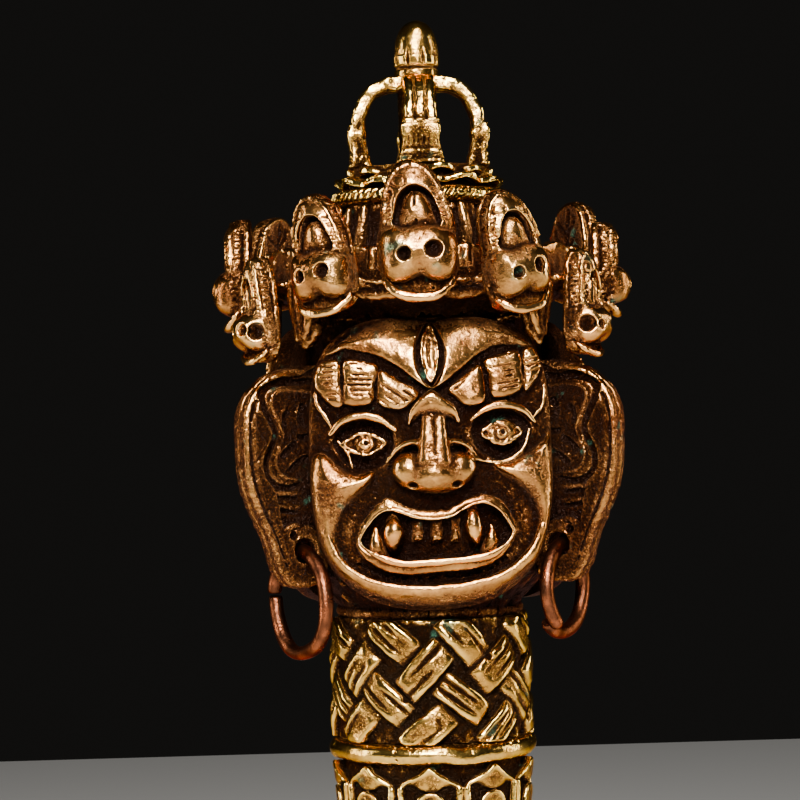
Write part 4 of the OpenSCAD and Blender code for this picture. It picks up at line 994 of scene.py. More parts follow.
def leaning(degrees, shown, slip, height, put):
    c, n = cosSin(degrees)

    def place(p):
        x, z = p[:, 0], p[:, 2] * shown - height
        return put(np.stack([x * c - z * n, p[:, 1], x * n + z * c + height - slip], 1))
    return place


skullCasts = {}
for k, name in enumerate(skulls["names"]):
    kind = skulls["kinds"][k % 4]
    low, high = span(name)
    if kind not in skullCasts:
        skullCasts[kind] = sculptSkull(skulls, kind, high - low)
    put = facing(skulls["turn"] + skulls["pitch"] * k, skulls["seat"], low)
    put = leaning(*skulls["set"].get(name, (0, 1, 0)), skulls["pivot"], put)
    addPiece(name + "_cast", skullCasts[kind], put, headCopper, name)
report("skulls")

# Ears: six thin castings back to back
ears = {
    "seam": 0.05,          # half the joint between the two of a pair
    "thick": 1.4,
    "hole": (14.9, 42.6, 1.2),       # in the lobe, worn round by the hoop: out, up and radius
    "cell": 0.1,
    "block": ((12.0, -0.2, 38.6), (21.6, 1.55, 60.6)),
    "finish": [(0.05, 1.2, 31), (0.04, 0.4, 32), (0.06, 0.3, 33, 1.1)],
    "soot": (0.7, 1.25, 0.07),
    "turns": {"front_right": -30, "back": 90, "front_left": 210},
}


def sculptEar(s):
    w = Clay(*s["block"], s["cell"])
    outline = [(12.2, 41.7), (12.9, 39.8), (14.5, 38.95), (16.5, 39.2), (17.7, 40.8), (18.3, 42.8), (18.9, 44.4),
               (19.8, 46.0), (20.7, 48.3), (21.2, 50.6), (21.3, 53.6), (21.2, 55.8), (20.5, 57.6), (19.3, 58.8),
               (17.6, 59.9), (15.2, 60.35), (12.2, 60.0)]
    w.plate(outline, s["thick"] - 0.05, (0.4, 0.4), steps=2, floor=-0.2)
    # the shell inside the rim lies lower
    w.pit([(12.0, 59.5), (15.0, 59.6), (18.4, 59.3), (19.7, 58.6), (19.6, 56.9), (18.9, 55.4), (18.2, 54.0),
           (18.8, 52.6), (19.4, 51.2), (19.1, 49.7), (18.2, 48.8), (17.6, 46.4), (17.0, 44.4), (14.6, 45.2),
           (12.0, 44.8)], 0.95, slope=0.1, steps=2)
    # a dark channel winds between the rim and the shell's thin edge
    channel = [(12.4, 59.0, 0.3), (15.5, 59.0, 0.36), (17.9, 58.8, 0.4), (19.1, 58.1, 0.42), (19.1, 56.9, 0.42),
               (18.4, 55.4, 0.38), (17.8, 54.0, 0.36), (18.3, 52.7, 0.38), (18.9, 51.3, 0.4), (18.7, 49.9, 0.4),
               (17.7, 49.0, 0.38), (16.3, 48.75, 0.32), (15.2, 49.1, 0.2)]
    w.roll([(px, 0.75, pz, r) for px, pz, r in channel], soft=0.05, cut=True)
    w.roll([(px, 1.2, pz, r) for px, pz, r in channel], soft=0.05, cut=True)
    edge = [(13.0, 58.0), (15.6, 58.2), (17.4, 58.1), (18.2, 57.4), (18.1, 56.4), (17.5, 55.2), (17.0, 54.0),
            (17.4, 52.8), (17.9, 51.6), (17.7, 50.5), (16.9, 49.8), (15.6, 49.6)]
    w.score(edge, -0.16, 0.3)
    tooth = [(19.5, 57.6), (20.0, 56.8), (20.0, 55.2), (19.7, 54.2), (18.9, 53.2), (19.5, 52.4), (20.1, 51.4)]
    w.score(tooth, 0.12, 0.26)
    # deep holes in the folds, two slots and a curl over the lobe
    for path in ([(16.4, 56.0), (16.8, 55.3), (16.7, 54.6)], [(14.6, 56.6), (15.0, 55.8), (14.8, 55.0)],
                 [(15.6, 52.9), (16.4, 52.4), (17.0, 51.8)], [(14.2, 51.6), (15.2, 51.2), (16.0, 50.6)],
                 [(13.2, 54.0), (14.2, 53.6), (15.0, 53.7)]):
        w.roll([(px, 0.85, pz, 0.34) for px, pz in path], soft=0.08, cut=True)
        w.score([(px + 0.45, pz + 0.42) for px, pz in path], -0.1, 0.26)
    for z0 in (47.75, 46.45):
        w.roll([(15.6, 0.85, z0 - 0.05, 0.2), (16.5, 0.8, z0, 0.26), (18.0, 0.85, z0 + 0.15, 0.16)],
               soft=0.05, cut=True)
        w.score([(15.4, z0 + 0.5), (16.5, z0 + 0.5), (18.2, z0 + 0.6)], -0.1, 0.26)
    w.roll([(15.2, 1.0, 44.9, 0.2), (16.1, 1.15, 45.1, 0.26), (17.0, 1.15, 44.6, 0.26), (17.1, 1.1, 43.7, 0.22)],
           soft=0.1)
    w.ball((16.2, 1.1, 44.1), (0.5, 0.8, 0.45), soft=0.1, cut=True)
    # one cut line follows the rim
    cutLine = [(15.0, 59.6), (17.4, 59.3), (18.9, 58.4), (20.0, 57.2), (20.55, 55.6), (20.7, 53.6), (20.55, 50.8),
               (20.1, 48.7), (19.2, 46.4), (18.2, 44.4), (17.6, 42.8), (17.0, 41.2)]
    w.score(cutLine, 0.3, 0.34)
    w.score([(px - 0.42, pz - 0.05) for px, pz in cutLine[3:]], -0.08, 0.26)
    for k in range(5):
        w.score([(12.4, 57.4 - 2.6 * k), (13.0, 56.9 - 2.6 * k), (13.4, 56.1 - 2.6 * k)], 0.2, 0.3)
    w.weather(*s["finish"])
    out, up, r = s["hole"]
    w.trim(lambda x, y, z: r - np.sqrt((x - out) ** 2 + (z - up) ** 2), 0.2)
    w.trim(lambda x, y, z: -y, 0.1)
    cast = pour(w, soot=s["soot"])
    away = unit((17.6 - cast.points[:, 0]) / 2.2)     # the whole ear is darker, partly its own deep patina and partly painted shade as it turns from the lamps; painted shade darkens the inner half above the lobe more
    cast.hollow = cast.hollow + 0.115 + 0.06 * away * (cast.points[:, 2] > 45)
    return cast


def besideAxis(turn, side, seam):
    # From the plane of the staff's axis at a bearing, with the block's height off that plane
    c, s = cosSin(turn)

    def place(p):
        off = side * (p[:, 1] + seam)
        return np.stack([p[:, 0] * c - off * s, p[:, 0] * s + off * c, p[:, 2]], 1)
    return place


earCast = sculptEar(ears)
for corner, turn in ears["turns"].items():
    for letter, side in (("a", -1), ("b", 1)):
        node = "ear_%s_%s" % (corner, letter)
        addPiece(node + "_cast", earCast, besideAxis(turn, side, ears["seam"]), headCopper, node, mirrored=side < 0)
report("ears")


# Swept pieces: closed rings of points laid one after another
def loft(rings, hollow):
    rings = np.array(rings)
    count, size = rings.shape[:2]
    row = np.arange(count - 1)[:, None] * size
    col = np.arange(size)[None, :]
    after = (col + 1) % size
    quads = np.stack([row + col, row + after, row + size + after, row + size + col], 2).reshape(-1, 4)
    ends = [list(range(size - 1, -1, -1)), list(range((count - 1) * size, count * size))]
    return Cast(rings.reshape(-1, 3), quads, ends, np.broadcast_to(np.asarray(hollow, float), (count, size)).ravel())


wire = {
    "radius": 0.7,
    # ear pair, mean radius, place of the gap, egg shape, how far the ends pass each other
    "corners": {"right": ("front_right", 4.3, 222, 0.3, 0.9), "back": ("back", 4.6, 215, -0.2, 0.2),
                "left": ("front_left", 5.0, 276, 0.25, 0.15)},
}


def bendWire(s, mean, gap, egg, lap, seed):
    # A hoop in the plane across the ear: seen from outside, the gap's bearing is from the top
    rng = np.random.default_rng(seed)
    turns = np.radians(np.linspace(gap + 3.0 - 6 * lap, gap + 357.0 + 6 * lap, 150))
    drift = rng.uniform(-1, 1, 8)
    rings = []
    for k, t in enumerate(turns):
        wobble = sum(0.035 * drift[m] * math.sin((m % 4 + 2) * t + 7 * drift[m - 1]) for m in range(8))
        low = (1 - math.cos(t)) / 2            # nothing at the hole, all of it at the far side
        reach = mean * (1 + low * (wobble * 0.5 + 0.03 * egg * math.sin(t)))
        end = min(k, len(turns) - 1 - k)
        r = s["radius"] * (1 + 0.03 * math.sin(5 * t + drift[0])) * (0.86 if end == 0 else 0.97 if end == 1 else 1.0)
        slip = lap * 0.5 * (math.exp(-k / 14) - math.exp(-(len(turns) - 1 - k) / 14))
        centre = np.array([slip, reach * math.sin(t), reach * math.cos(t)])
        out = np.array([0.0, math.sin(t), math.cos(t)])
        ring = []
        for a in np.linspace(0, 2 * math.pi, 28, endpoint=False):
            flat = r * (1 - 0.05 * max(math.cos(a), 0) ** 8)
            ring.append(centre + out * flat * math.cos(a) + np.array([1.0, 0, 0]) * r * math.sin(a))
        rings.append(ring)
    return loft(rings, 0.5)


def hangHoop(turn, hole, mean):
    c, n = cosSin(turn)

    def place(p):
        out, off, up = p[:, 0] + hole[0], p[:, 1], p[:, 2] + hole[1] - mean
        return np.stack([out * c - off * n, out * n + off * c, up], 1)
    return place


def drawnWire(name, s):
    # Hand-bent copper wire, aged to a reddish brown: satin, with faint draw marks and darker blotches
    material, tree, shader = newMaterial(name)
    spot = (addNode(tree, "ShaderNodeTexCoord"), "Object")
    blotch = (addNode(tree, "ShaderNodeTexNoise", {"Scale": scaleFor(s["blotch"]), "Detail": 4.0}, Vector=spot),
              "Fac")
    feed(shader, "Base Color", addNode(tree, "ShaderNodeValToRGB", {"stops": s["colours"]}, Fac=blotch))
    smooth, dull = s["rough"]
    feed(shader, "Roughness", addNode(tree, "ShaderNodeMapRange", {1: 0.3, 2: 0.7, 3: smooth, 4: dull}, i0=blotch))
    shader.inputs["Metallic"].default_value = 1.0
    shader.inputs["Specular Tint"].default_value = linear(s["edge"])
    marks = (addNode(tree, "ShaderNodeTexNoise", {"Scale": scaleFor(s["scratch"]), "Detail": 3.0}, Vector=spot),
             "Fac")
    feed(shader, "Normal", addNode(tree, "ShaderNodeBump", {"Strength": 1.0, "Distance": s["depth"] * mm},
                                   Height=marks))
    return material


agedWire = drawnWire("drawnCopperWireAged", {
    "blotch": 1.3, "colours": [(0.32, "#7d4429"), (0.5, "#56301d"), (0.68, "#30190f")],
    "edge": "#a87a5c", "rough": (0.24, 0.4), "scratch": 0.22, "depth": 0.06,
})
for name, (corner, mean, gap, egg, lap) in wire["corners"].items():
    addPiece("wire_hoop_" + name, bendWire(wire, mean, gap, egg, lap, len(name)),
             hangHoop(ears["turns"][corner], ears["hole"], mean), ("hoop_" + name, "wire_copper", agedWire),
             "earring_" + name, mirrored=False)
report("hoops")


# Pieces that go round the staff
def turnedClay(s, low, high, depth):
    w = Clay((0, depth[0], low), (2 * math.pi * s["radius"], depth[1], high), s["cell"], loop=True)
    w.length = 2 * math.pi * s["radius"]
    return w


def closeEnds(w, low, high, soft=0.2):
    w.trim(lambda x, y, z: np.maximum(low - z, z - high), soft)


def allRound(w, height, rise, r, soft, cut=False, parts=60):
    # A roll right round the staff
    w.roll([(x, height, rise, r) for x in np.linspace(0, w.length, parts)], soft=soft, cut=cut, steps=1)


def addPair(name, node, cast, s, profile):
    # One over the grip's middle, and one under it upside down
    for end, up in (("upper", 1), ("lower", -1)):
        addPiece(name + end, cast, around(s["radius"], profile, up), gripBrass, node + end, mirrored=up > 0)


knot = {
    "radius": 9.8, "cell": 0.135, "core": 9.15, "reach": 1.15,
    "columns": 8,
    "strap": (5.9, 3.15),             # length and width of one visible stretch
    "worn": 0.98,                     # height that handling has rubbed the straps down to
    "rows": [(1.6, -6, 45), (4.5, 16, -45), (7.3, -6, 45), (10.4, 18, -45)],    # height, bearing, slope
    "ground": [(0.25, 0.9, 41), (0.18, 0.4, 42)],
    "soot": (0.0, 0.75, 0.1),
}


def sculptKnot(s, low, high):
    w = turnedClay(s, low, high, (-1.2, s["reach"] + 0.25))
    w.ground(0)
    w.weather(*s["ground"])
    rng = np.random.default_rng(43)
    for rise, bearing, slope in s["rows"]:
        for k in range(s["columns"]):
            x0 = math.radians(bearing + 360 / s["columns"] * k + rng.uniform(-2, 2)) * s["radius"]
            z0 = low + rise + rng.uniform(-0.3, 0.3)
            lean = math.radians(slope + rng.uniform(-8, 8))
            c, t = math.cos(lean), math.sin(lean)
            half, wide = s["strap"][0] / 2 * rng.uniform(0.9, 1.06), s["strap"][1] / 2 * rng.uniform(0.85, 1.08)
            corners = [(-half, -wide), (half, -wide * 0.96), (half * 1.02, wide), (-half * 0.98, wide * 0.95)]
            outline = [(x0 + u * c - v * t, z0 + u * t + v * c) for u, v in corners]
            tilt = rng.uniform(-0.12, 0.12)
            top = s["reach"] + rng.uniform(-0.05, 0.1)

            def crown(x, z):
                u, v = (x - x0) * c + (z - z0) * t, (z - z0) * c - (x - x0) * t
                return top - 0.65 * np.abs(u / half) ** 2.5 + tilt * u * 0.3 - 0.12 * (v / wide) ** 2
            w.plate(outline, crown, (0.3, 0.2), soft=0.08, steps=1)
            # slits between the strap's three cords, worn shut at one end
            for v in (-wide * 0.36, wide * 0.36):
                if rng.uniform() < 0.9:
                    far = rng.uniform(0.1, 0.9) * rng.choice([-1, 1])
                    ends = (-half * 1.05 * np.sign(far), half * far)
                    line = [(x0 + u * c - v * t, z0 + u * t + v * c) for u in np.linspace(*ends, 6)]
                    rolls = [(px, s["worn"] - 0.12 * (1 - k / 5), pz, 0.42 - 0.34 * k / 5)
                             for k, (px, pz) in enumerate(line)]
                    w.roll(rolls, soft=0.06, cut=True, steps=1)
    w.weather((0.06, 0.9, 44))
    w.trim(lambda x, y, z: y - (s["worn"] + 0.08 * np.sin(x * 0.9 + z) * np.cos(z * 1.1 - x * 0.4)), 0.12)
    w.weather((0.03, 0.5, 45))
    closeEnds(w, low, high)
    w.weather((0.1, 0.32, 46, 0.5))
    return pour(w, soot=s["soot"])


addPair("knot_cast_", "knot_", sculptKnot(knot, *span("knot_upper")), knot, knot["core"])
report("knots")

rope = {
    "radius": 10.0, "cell": 0.11, "inner": 9.0,
    "dip": (15, 0.45, 9),             # bearing, depth and half width of the sag on the photograph's side
    "pitch": 0.8,
    "finish": [(0.035, 1.4, 51), (0.015, 0.4, 52)],
}


def sculptRope(s, low, high, outer):
    w = turnedClay(s, low - 0.2, high + 0.2, (-0.6, outer - s["inner"] + 0.2))
    w.ground(-0.1)
    length = w.length
    mid = (low + high) / 2
    points = []
    for k in range(72):
        turn = 360 * k / 72
        away = (turn - s["dip"][0] + 180) % 360 - 180
        sag = s["dip"][1] * math.exp(-(away / s["dip"][2]) ** 2)
        wave = 0.12 * math.sin(math.radians(turn * 5 + 40)) + 0.08 * math.sin(math.radians(turn * 9))
        points.append((length * k / 72, outer - s["inner"] - 0.95, mid + 0.05 + wave * 0.6 - sag, (high - low) / 2))
    w.roll(points + [(length, *points[0][1:])], soft=0.15, steps=3)
    rng = np.random.default_rng(53)
    count = int(round(length / s["pitch"]))
    for k in range(count):
        turn = 360 * k / count
        away = abs((turn + 180) % 360 - 180)
        if rng.uniform() < 0.12 + 0.4 * (away < 16):
            continue
        x = length * (k + rng.uniform(-0.3, 0.3)) / count
        reach = rng.uniform(0.3, 1.0) if away > 16 else -0.25
        w.score([(x - 0.12, mid + 0.8), (x, mid + 0.35), (x + 0.1, mid + 0.1 - reach)], rng.uniform(0.24, 0.42), 0.2,
                steps=2)
    w.weather(*s["finish"])
    closeEnds(w, low, high, 0.1)
    return pour(w)


ropeSpan = span("rope_ring_upper")
ropeCast = sculptRope(rope, *ropeSpan, halfWidth("rope_ring_upper"))
addPair("rope_cast_", "rope_ring_", ropeCast, rope, rope["inner"])
report("rope rings")

lotus = {
    "radius": 9.0, "cell": 0.135, "petals": 9,
    "foot": 7.0, "mouth": 9.0, "relief": 1.1, "bearing": -5,
    "ground": [(0.12, 0.7, 61)],
    "finish": [(0.06, 1.1, 63), (0.03, 0.4, 64), (0.08, 0.32, 65, 0.5)],
    "soot": (0.1, 0.7, 0.09),
}


def cupRadius(s, low, high):
    # The cup's wall swells from its foot to its mouth
    def profile(turn, z):
        share = unit((z - low) / (high - low))
        return s["foot"] + (s["mouth"] - s["foot"]) * np.sin(share * math.pi / 2) ** 0.9
    return profile


def sculptLotus(s, low, high):
    w = turnedClay(s, low, high, (-0.8, s["relief"] + 0.25))
    w.ground(0)
    w.weather(*s["ground"])
    pitch = w.length / s["petals"]
    h = high - low
    rng = np.random.default_rng(62)
    roof = [(0, -0.1), (0.8, -0.75), (1.8, -1.3), (2.95, -1.85), (2.8, -2.5), (2.1, -2.15), (1.4, -2.1), (0.9, -2.4),
            (0, -2.6), (-0.9, -2.35), (-1.5, -1.95), (-2.2, -2.0), (-2.8, -2.4), (-2.9, -1.8), (-1.9, -1.2),
            (-0.8, -0.7)]
    for k in range(s["petals"]):
        x0 = pitch * k + math.radians(s["bearing"]) * s["radius"]
        swell = rng.uniform(0.95, 1.04)

        def flank(side, inset, fall):
            # A ridge from the roof's corner down the petal's side to the foot
            return [(x0 + side * px * swell * inset, low + h * pz - fall) for px, pz in
                    ((2.75, 1 - 2.3 / h), (2.55, 0.62), (2.3, 0.4), (1.7, 0.17), (0, 0.06))]
        w.plate([(x0, high - 0.7)] + flank(1, 0.98, 0) + flank(-1, 0.98, 0)[::-1], 0.25, (0.15, 0.3),
                soft=0.1, steps=2)
        w.plate([(x0 + px * swell, high + pz) for px, pz in roof], lambda x, z: 1.0 - 0.06 * (x - x0) ** 2,
                (0.35, 0.22), soft=0.1, steps=2)
        w.roll([(x0 + px * swell * 0.92, 0.92 - 0.05 * px * px, high + pz - 0.22, 0.2) for px, pz in
                roof[12:] + roof[:4]], soft=0.08, steps=3)
        for side in (-1, 1):
            w.roll([(px, 0.6, pz, 0.33) for px, pz in flank(side, 1, 0)], soft=0.1, steps=3)
            w.roll([(px, 0.35, pz, 0.2) for px, pz in flank(side, 0.72, -0.5)[1:]], soft=0.08, steps=3)
            w.roll([(x0 + side * pitch / 2, deep, low + h * share, r) for deep, share, r in
                    ((0.2, 0.06, 0.3), (0.3, 0.3, 0.4), (0.15, 0.5, 0.2))], soft=0.1)
        # a cut stone in a rim, and a smaller drop below it
        jx, jz = x0 + rng.uniform(-0.12, 0.12), high - 4.3
        stone = [(jx + 1.35 * swell * math.cos(a), jz + rng.uniform(1.45, 1.65) * math.sin(a))
                 for a in np.radians([20, 65, 115, 160, 205, 250, 295, 335])]
        w.plate(stone, 0.95, (0.25, 0.25), soft=0.08, steps=2)
        w.roll([(px, 0.8, pz, 0.2) for px, pz in stone], closed=True, steps=2, soft=0.05)
        w.ball((jx, 0.45, jz - 3.0), (0.85, 0.65, 1.2), soft=0.1)
    w.weather(*s["finish"])
    closeEnds(w, low, high, 0.08)
    cast = pour(w, soot=s["soot"])
    cast.hollow = cast.hollow + 0.025
    shadedLip = (cast.points[:, 2] > high - 0.6) & (cast.points[:, 1] < 0.4)     # painted shade: stays black under the rope ring
    cast.hollow[shadedLip] = np.maximum(cast.hollow[shadedLip], 0.57)
    return cast


lotusSpan = span("lotus_upper")[0], ropeSpan[0]
addPair("lotus_cast_", "lotus_", sculptLotus(lotus, *lotusSpan), lotus, cupRadius(lotus, *lotusSpan))
report("lotus cups")

bead = {"count": 24, "cell": 0.13, "radius": 8.0, "ground": [(0.1, 0.6, 71)], "finish": [(0.04, 0.9, 73)]}
beadSpan = span("bead_ring_upper")


def sculptBeads(s, low, high, outer):
    w = turnedClay(s, low - 0.2, high + 0.2, (-1.0, 1.6))
    w.ground(-0.35)
    w.weather(*s["ground"])
    length = w.length
    rng = np.random.default_rng(72)
    half = (high - low) / 2
    for k in range(s["count"]):
        size = rng.uniform(0.93, 1.03)
        rise = (low + high) / 2 + rng.uniform(-0.06, 0.06)
        w.ball((length * k / s["count"], outer - s["radius"] - half * size, rise),
               (1.02 * size, half * size, half * size), soft=0.1)
    w.weather(*s["finish"])
    closeEnds(w, low, high, 0.1)
    return pour(w)


beadCast = sculptBeads(bead, *beadSpan, halfWidth("bead_ring_upper"))
addPair("bead_cast_", "bead_ring_", beadCast, bead, bead["radius"])

belly = {"radius": 8.3, "cell": 0.14, "seat": 6.9, "flowers": 9, "finish": [(0.05, 1.4, 81)]}
bellyHalf = span("grip_belly")[1]


def sculptBelly(s, half):
    # A round boss with a belt of studs between two pairs of cut lines
    w = turnedClay(s, -half, half, (-1.0, 0.5))
    w.ground(-0.15)
    length = w.length
    for rise in (-3.6, -2.9, 2.9, 3.6):
        allRound(w, 0.02, rise, 0.2, 0.05, cut=True)
    for rise in (-1.95, 1.95):
        allRound(w, -0.2, rise, 0.28, 0.08)
    for k in range(s["flowers"]):
        x0 = length * k / s["flowers"]
        w.ball((x0, -0.2, 0), (1.5, 0.33, 1.25), soft=0.1)
        w.ball((x0, 0.05, 0), (0.5, 0.25, 0.5), soft=0.05)
        for petal in range(6):
            a = petal * math.pi / 3
            w.score([(x0 + 0.6 * math.cos(a), 0.6 * math.sin(a)), (x0 + 1.4 * math.cos(a), 1.2 * math.sin(a))],
                    0.12, 0.22, steps=1)
        w.ball((x0 + length / s["flowers"] / 2, -0.2, 0), (0.5, 0.28, 0.5), soft=0.08)
    w.weather(*s["finish"])
    closeEnds(w, -half, half)
    return pour(w)


def bellyRadius(turn, z):
    return belly["seat"] + (halfWidth("grip_belly") - belly["seat"] - 0.2) * unit(1 - (z / bellyHalf) ** 2)


addPiece("belly_cast", sculptBelly(belly, min(bellyHalf, beadSpan[0])), around(belly["radius"], bellyRadius), gripBrass,
         "grip_belly")
report("belly and beads")

core = {
    "radius": 11.0, "cell": 0.16,
    "flat": 8.6, "corner": 12.2, "most": 12.8, "neck": 9.3, "taper": 4.0, "notches": 46,
    "ground": [(0.3, 1.1, 91), (0.22, 0.45, 92)],
    "soot": (-0.2, 0.3, 0.12),
}
coreLow, coreHigh = span("head_core")


def coreRadius(s, low):
    # Three flats for the faces, blunt corners for the ears, drawn in to the neck
    def profile(turn, z):
        face = (turn + math.pi / 3) % (2 * math.pi / 3) - math.pi / 3
        corner = turn % (2 * math.pi / 3) - math.pi / 3
        r = np.minimum(s["flat"] / np.cos(face), s["corner"] / np.cos(corner))
        neck = s["neck"] + (s["most"] - s["neck"]) * unit((z - low - 1.0) / s["taper"])
        return np.minimum(np.minimum(r, s["most"]), neck)
    return profile


def sculptCore(s, low, high):
    w = turnedClay(s, low, high, (-1.3, 0.6))
    w.ground(-0.35)
    w.weather(*s["ground"])
    # the collar that the head stands on
    allRound(w, -0.45, low + 0.55, 0.5, 0.15)
    for k in range(s["notches"]):
        x = w.length * (k + 0.5) / s["notches"]
        w.score([(x, low + 0.1), (x + 0.2, low + 1.05)], 0.15, 0.3, steps=1)
    closeEnds(w, low, high)
    cast = pour(w, smooth=0, soot=s["soot"])
    cast.hollow = cast.hollow + 0.03 + 0.05 * (cast.points[:, 2] < low + 1.2)
    return cast


addPiece("core_cast", sculptCore(core, coreLow, coreHigh), around(core["radius"], coreRadius(core, coreLow)),
         headCopper, "head_core")
report("head core")

crown = {
    "radius": 15.0, "cell": 0.16, "inner": 10.45,
    "flare": (11.4, 3.3),            # radius at the foot, and how far up the flare goes
    "flap": 3.0,                     # how far the leaves beside the ears hang down
    "flats": 17.0, "turn": -3.0,
    "wall": (15.0, 0.7, 3.3),        # parapet between the hoods: radius, half thickness, height
    "ground": [(0.2, 0.9, 101)],
    "finish": [(0.1, 0.4, 102)],
}


def sculptCrown(s, low, high):
    w = turnedClay(s, low - s["flap"] - 0.2, high + s["wall"][2] + 0.3,
                   (0, s["flats"] + 0.8 - s["inner"]))
    place, x, y, z = w.everywhere()
    r = s["inner"] + y
    bearing = np.degrees(x / s["radius"]) - s["turn"]
    flat = s["flats"] / np.cos(np.radians((bearing + 15) % 30 - 15))
    rise = unit((z - low) / s["flare"][1]) ** 1.5
    gap = unit((np.abs((bearing + 15) % 30 - 15) - 8) / 4)        # sunk between the skulls
    wall = s["flare"][0] + (flat - 0.9 * gap - s["flare"][0]) * rise
    foot = low + 0.2 * np.sin(x * 1.7) + 0.15 * np.sin(x * 4.1 + 1)
    body = smoothMax(smoothMax(r - wall, z - high + 0.35 * gap, 0.8), foot - z, 0.3)
    scallop = 0.5 * np.abs(np.sin(np.radians(bearing * 6)))
    fence = np.maximum(np.abs(r - s["wall"][0]) - s["wall"][1],
                       np.maximum(z - high - s["wall"][2] + scallop, high - 1 - z))
    w.field[place] = smoothMin(body, fence, 0.3)
    w.weather(*s["ground"])
    for k in range(12):
        x0 = math.radians(s["turn"] + 30 * k + 15) * s["radius"]
        # a fold from jaw to jaw
        w.roll([(x0 - 2.6, 4.5, low + 2.5, 0.5), (x0 - 1.0, 4.5, low + 2.0, 0.55), (x0 + 0.8, 4.5, low + 2.0, 0.55),
                (x0 + 2.6, 4.5, low + 2.5, 0.5)], soft=0.35)
        toward = {1: 1, 2: -1}.get(k % 4)
        if toward:      # a leaf of wavy strands hangs beside the ears
            out = 16.0 - s["inner"]
            w.plate([(x0 - 1.9, high + 0.6), (x0 + 1.9, high + 0.6), (x0 + toward * 1.6, low - 0.3),
                     (x0 + toward * 0.8, low - s["flap"] + 0.1), (x0 - toward * 0.1, low - s["flap"] + 0.3),
                     (x0 - toward * 1.3, low - 0.6)], out, (0.4, 0.5), soft=0.3, steps=3, floor=out - 1.2)
            for bend in (-1.25, -0.2, 0.9):
                w.roll([(x0 + bend - toward * 0.3, out, high + 0.8, 0.3),
                        (x0 + bend + toward * 0.35, out + 0.2, high - 1.2, 0.42),
                        (x0 + bend * 0.7, out + 0.2, low - 0.2, 0.4),
                        (x0 + bend * 0.4 + toward * 0.4, out, low - 2.0, 0.24)], soft=0.12)
        # a small block stands between each two hoods, over a fold
        w.plate([(x0 - 0.95, high + 0.7), (x0 + 0.95, high + 0.7), (x0 + 0.8, high + 2.9), (x0 - 0.8, high + 2.9)],
                s["wall"][0] + 1.15 - s["inner"], (0.2, 0.25), steps=1, floor=4.2)
        w.score([(x0, high + 0.9), (x0, high + 2.7)], 0.15, 0.3, steps=1)
        w.score([(x0 - 1.5, high - 0.4), (x0, high - 1.0), (x0 + 1.5, high - 0.4)], 0.25, 0.4)
    w.weather(*s["finish"], (0.1, 0.3, 103, s["wall"][0] - s["inner"]))
    cast = pour(w)
    x, y, z = cast.points.T
    cast.hollow = cast.hollow + 0.035 + 0.07 * unit((high - 0.4 - z) / 1.2)      # a little darker all over, with painted shade under the skulls
    # painted shade: the crown's foot is always kept dark
    shadedBrim = (z < low + 1.5) & (y < 14.2 - s["inner"])
    cast.hollow[shadedBrim] = np.maximum(cast.hollow[shadedBrim], 0.56)
    return cast


addPiece("crown_cast", sculptCrown(crown, *span("crown_band")), around(crown["radius"], crown["inner"]), headCopper,
         "crown_band")
report("crown")

topknot = {
    "radius": 9.3, "cell": 0.14, "foot": 10.2, "top": 8.2, "locks": 20,
    "ground": [(0.2, 0.7, 111)], "finish": [(0.07, 0.5, 113)], "soot": (-0.5, 0.1, 0.06),
}
topknotLow, topknotHigh = span("topknot")


def sculptTopknot(s, low, high):
    # Locks of hair drawn up to points, dark between them
    w = turnedClay(s, low, high, (-1.0, 0.7))
    w.ground(-0.6)
    w.weather(*s["ground"])
    length = w.length
    rng = np.random.default_rng(112)
    for k in range(s["locks"]):
        x0 = length * (k + 0.5) / s["locks"]
        tip, swing = high - rng.uniform(0.1, 0.7), rng.uniform(-0.35, 0.35)
        w.roll([(x0, -0.5, low + 1.5, 0.7), (x0 + swing, -0.4, low + 5.5, 0.85), (x0 - swing, -0.25, high - 2.6, 0.7),
                (x0, -0.25, tip, 0.32)], soft=0.12)
        w.roll([(x0 + length / s["locks"] / 2, -0.75, low + 2, 0.4),
                (x0 + length / s["locks"] / 2, -0.65, high - rng.uniform(2.4, 3.6), 0.25)], soft=0.1, steps=2)
    w.weather(*s["finish"])
    closeEnds(w, low, high)
    cast = pour(w, soot=s["soot"])
    shade = unit((high - 0.8 - cast.points[:, 2]) / 2.2)     # painted shade: darker further below the tips
    cast.hollow = cast.hollow + 0.03 + 0.09 * shade
    return cast


def topknotRadius(turn, z):
    share = (z - topknotLow) / (topknotHigh - topknotLow)
    return topknot["foot"] + (topknot["top"] - topknot["foot"]) * share


addPiece("topknot_cast", sculptTopknot(topknot, topknotLow, topknotHigh), around(topknot["radius"], topknotRadius),
         headCopper, "topknot")
report("topknot")

# The half vajra
finialRope = {"radius": 8.6, "cell": 0.1, "strands": 64, "slant": 0.45, "finish": [(0.04, 0.9, 121)]}
finialRopeSpan = span("finial_rope")


def sculptFinialRope(s, low, high, outer):
    w = turnedClay(s, low - 0.1, high + 0.1, (-1.0, outer - s["radius"] + 0.15))
    w.ground(-0.45)
    length = w.length
    mid, half = (low + high) / 2, (high - low) / 2
    allRound(w, outer - s["radius"] - half, mid, half, 0.08, parts=70)
    for k in range(s["strands"]):
        x = length * k / s["strands"]
        w.score([(x - s["slant"] * 0.6, mid - half * 0.8), (x, mid), (x + s["slant"], mid + half * 0.8)], 0.2, 0.26,
                steps=2)
    w.weather(*s["finish"])
    closeEnds(w, low, high, 0.08)
    return pour(w)


addPiece("finial_rope_cast", sculptFinialRope(finialRope, *finialRopeSpan, halfWidth("finial_rope")),
         around(finialRope["radius"], finialRope["radius"]), finialBrass, "finial_rope")

disc = {
    "radius": 8.0, "cell": 0.11, "inner": 2.0, "rim": 8.5, "top": 7.3, "leaves": 11,
    "finish": [(0.08, 1.1, 131), (0.04, 0.4, 132)],
}


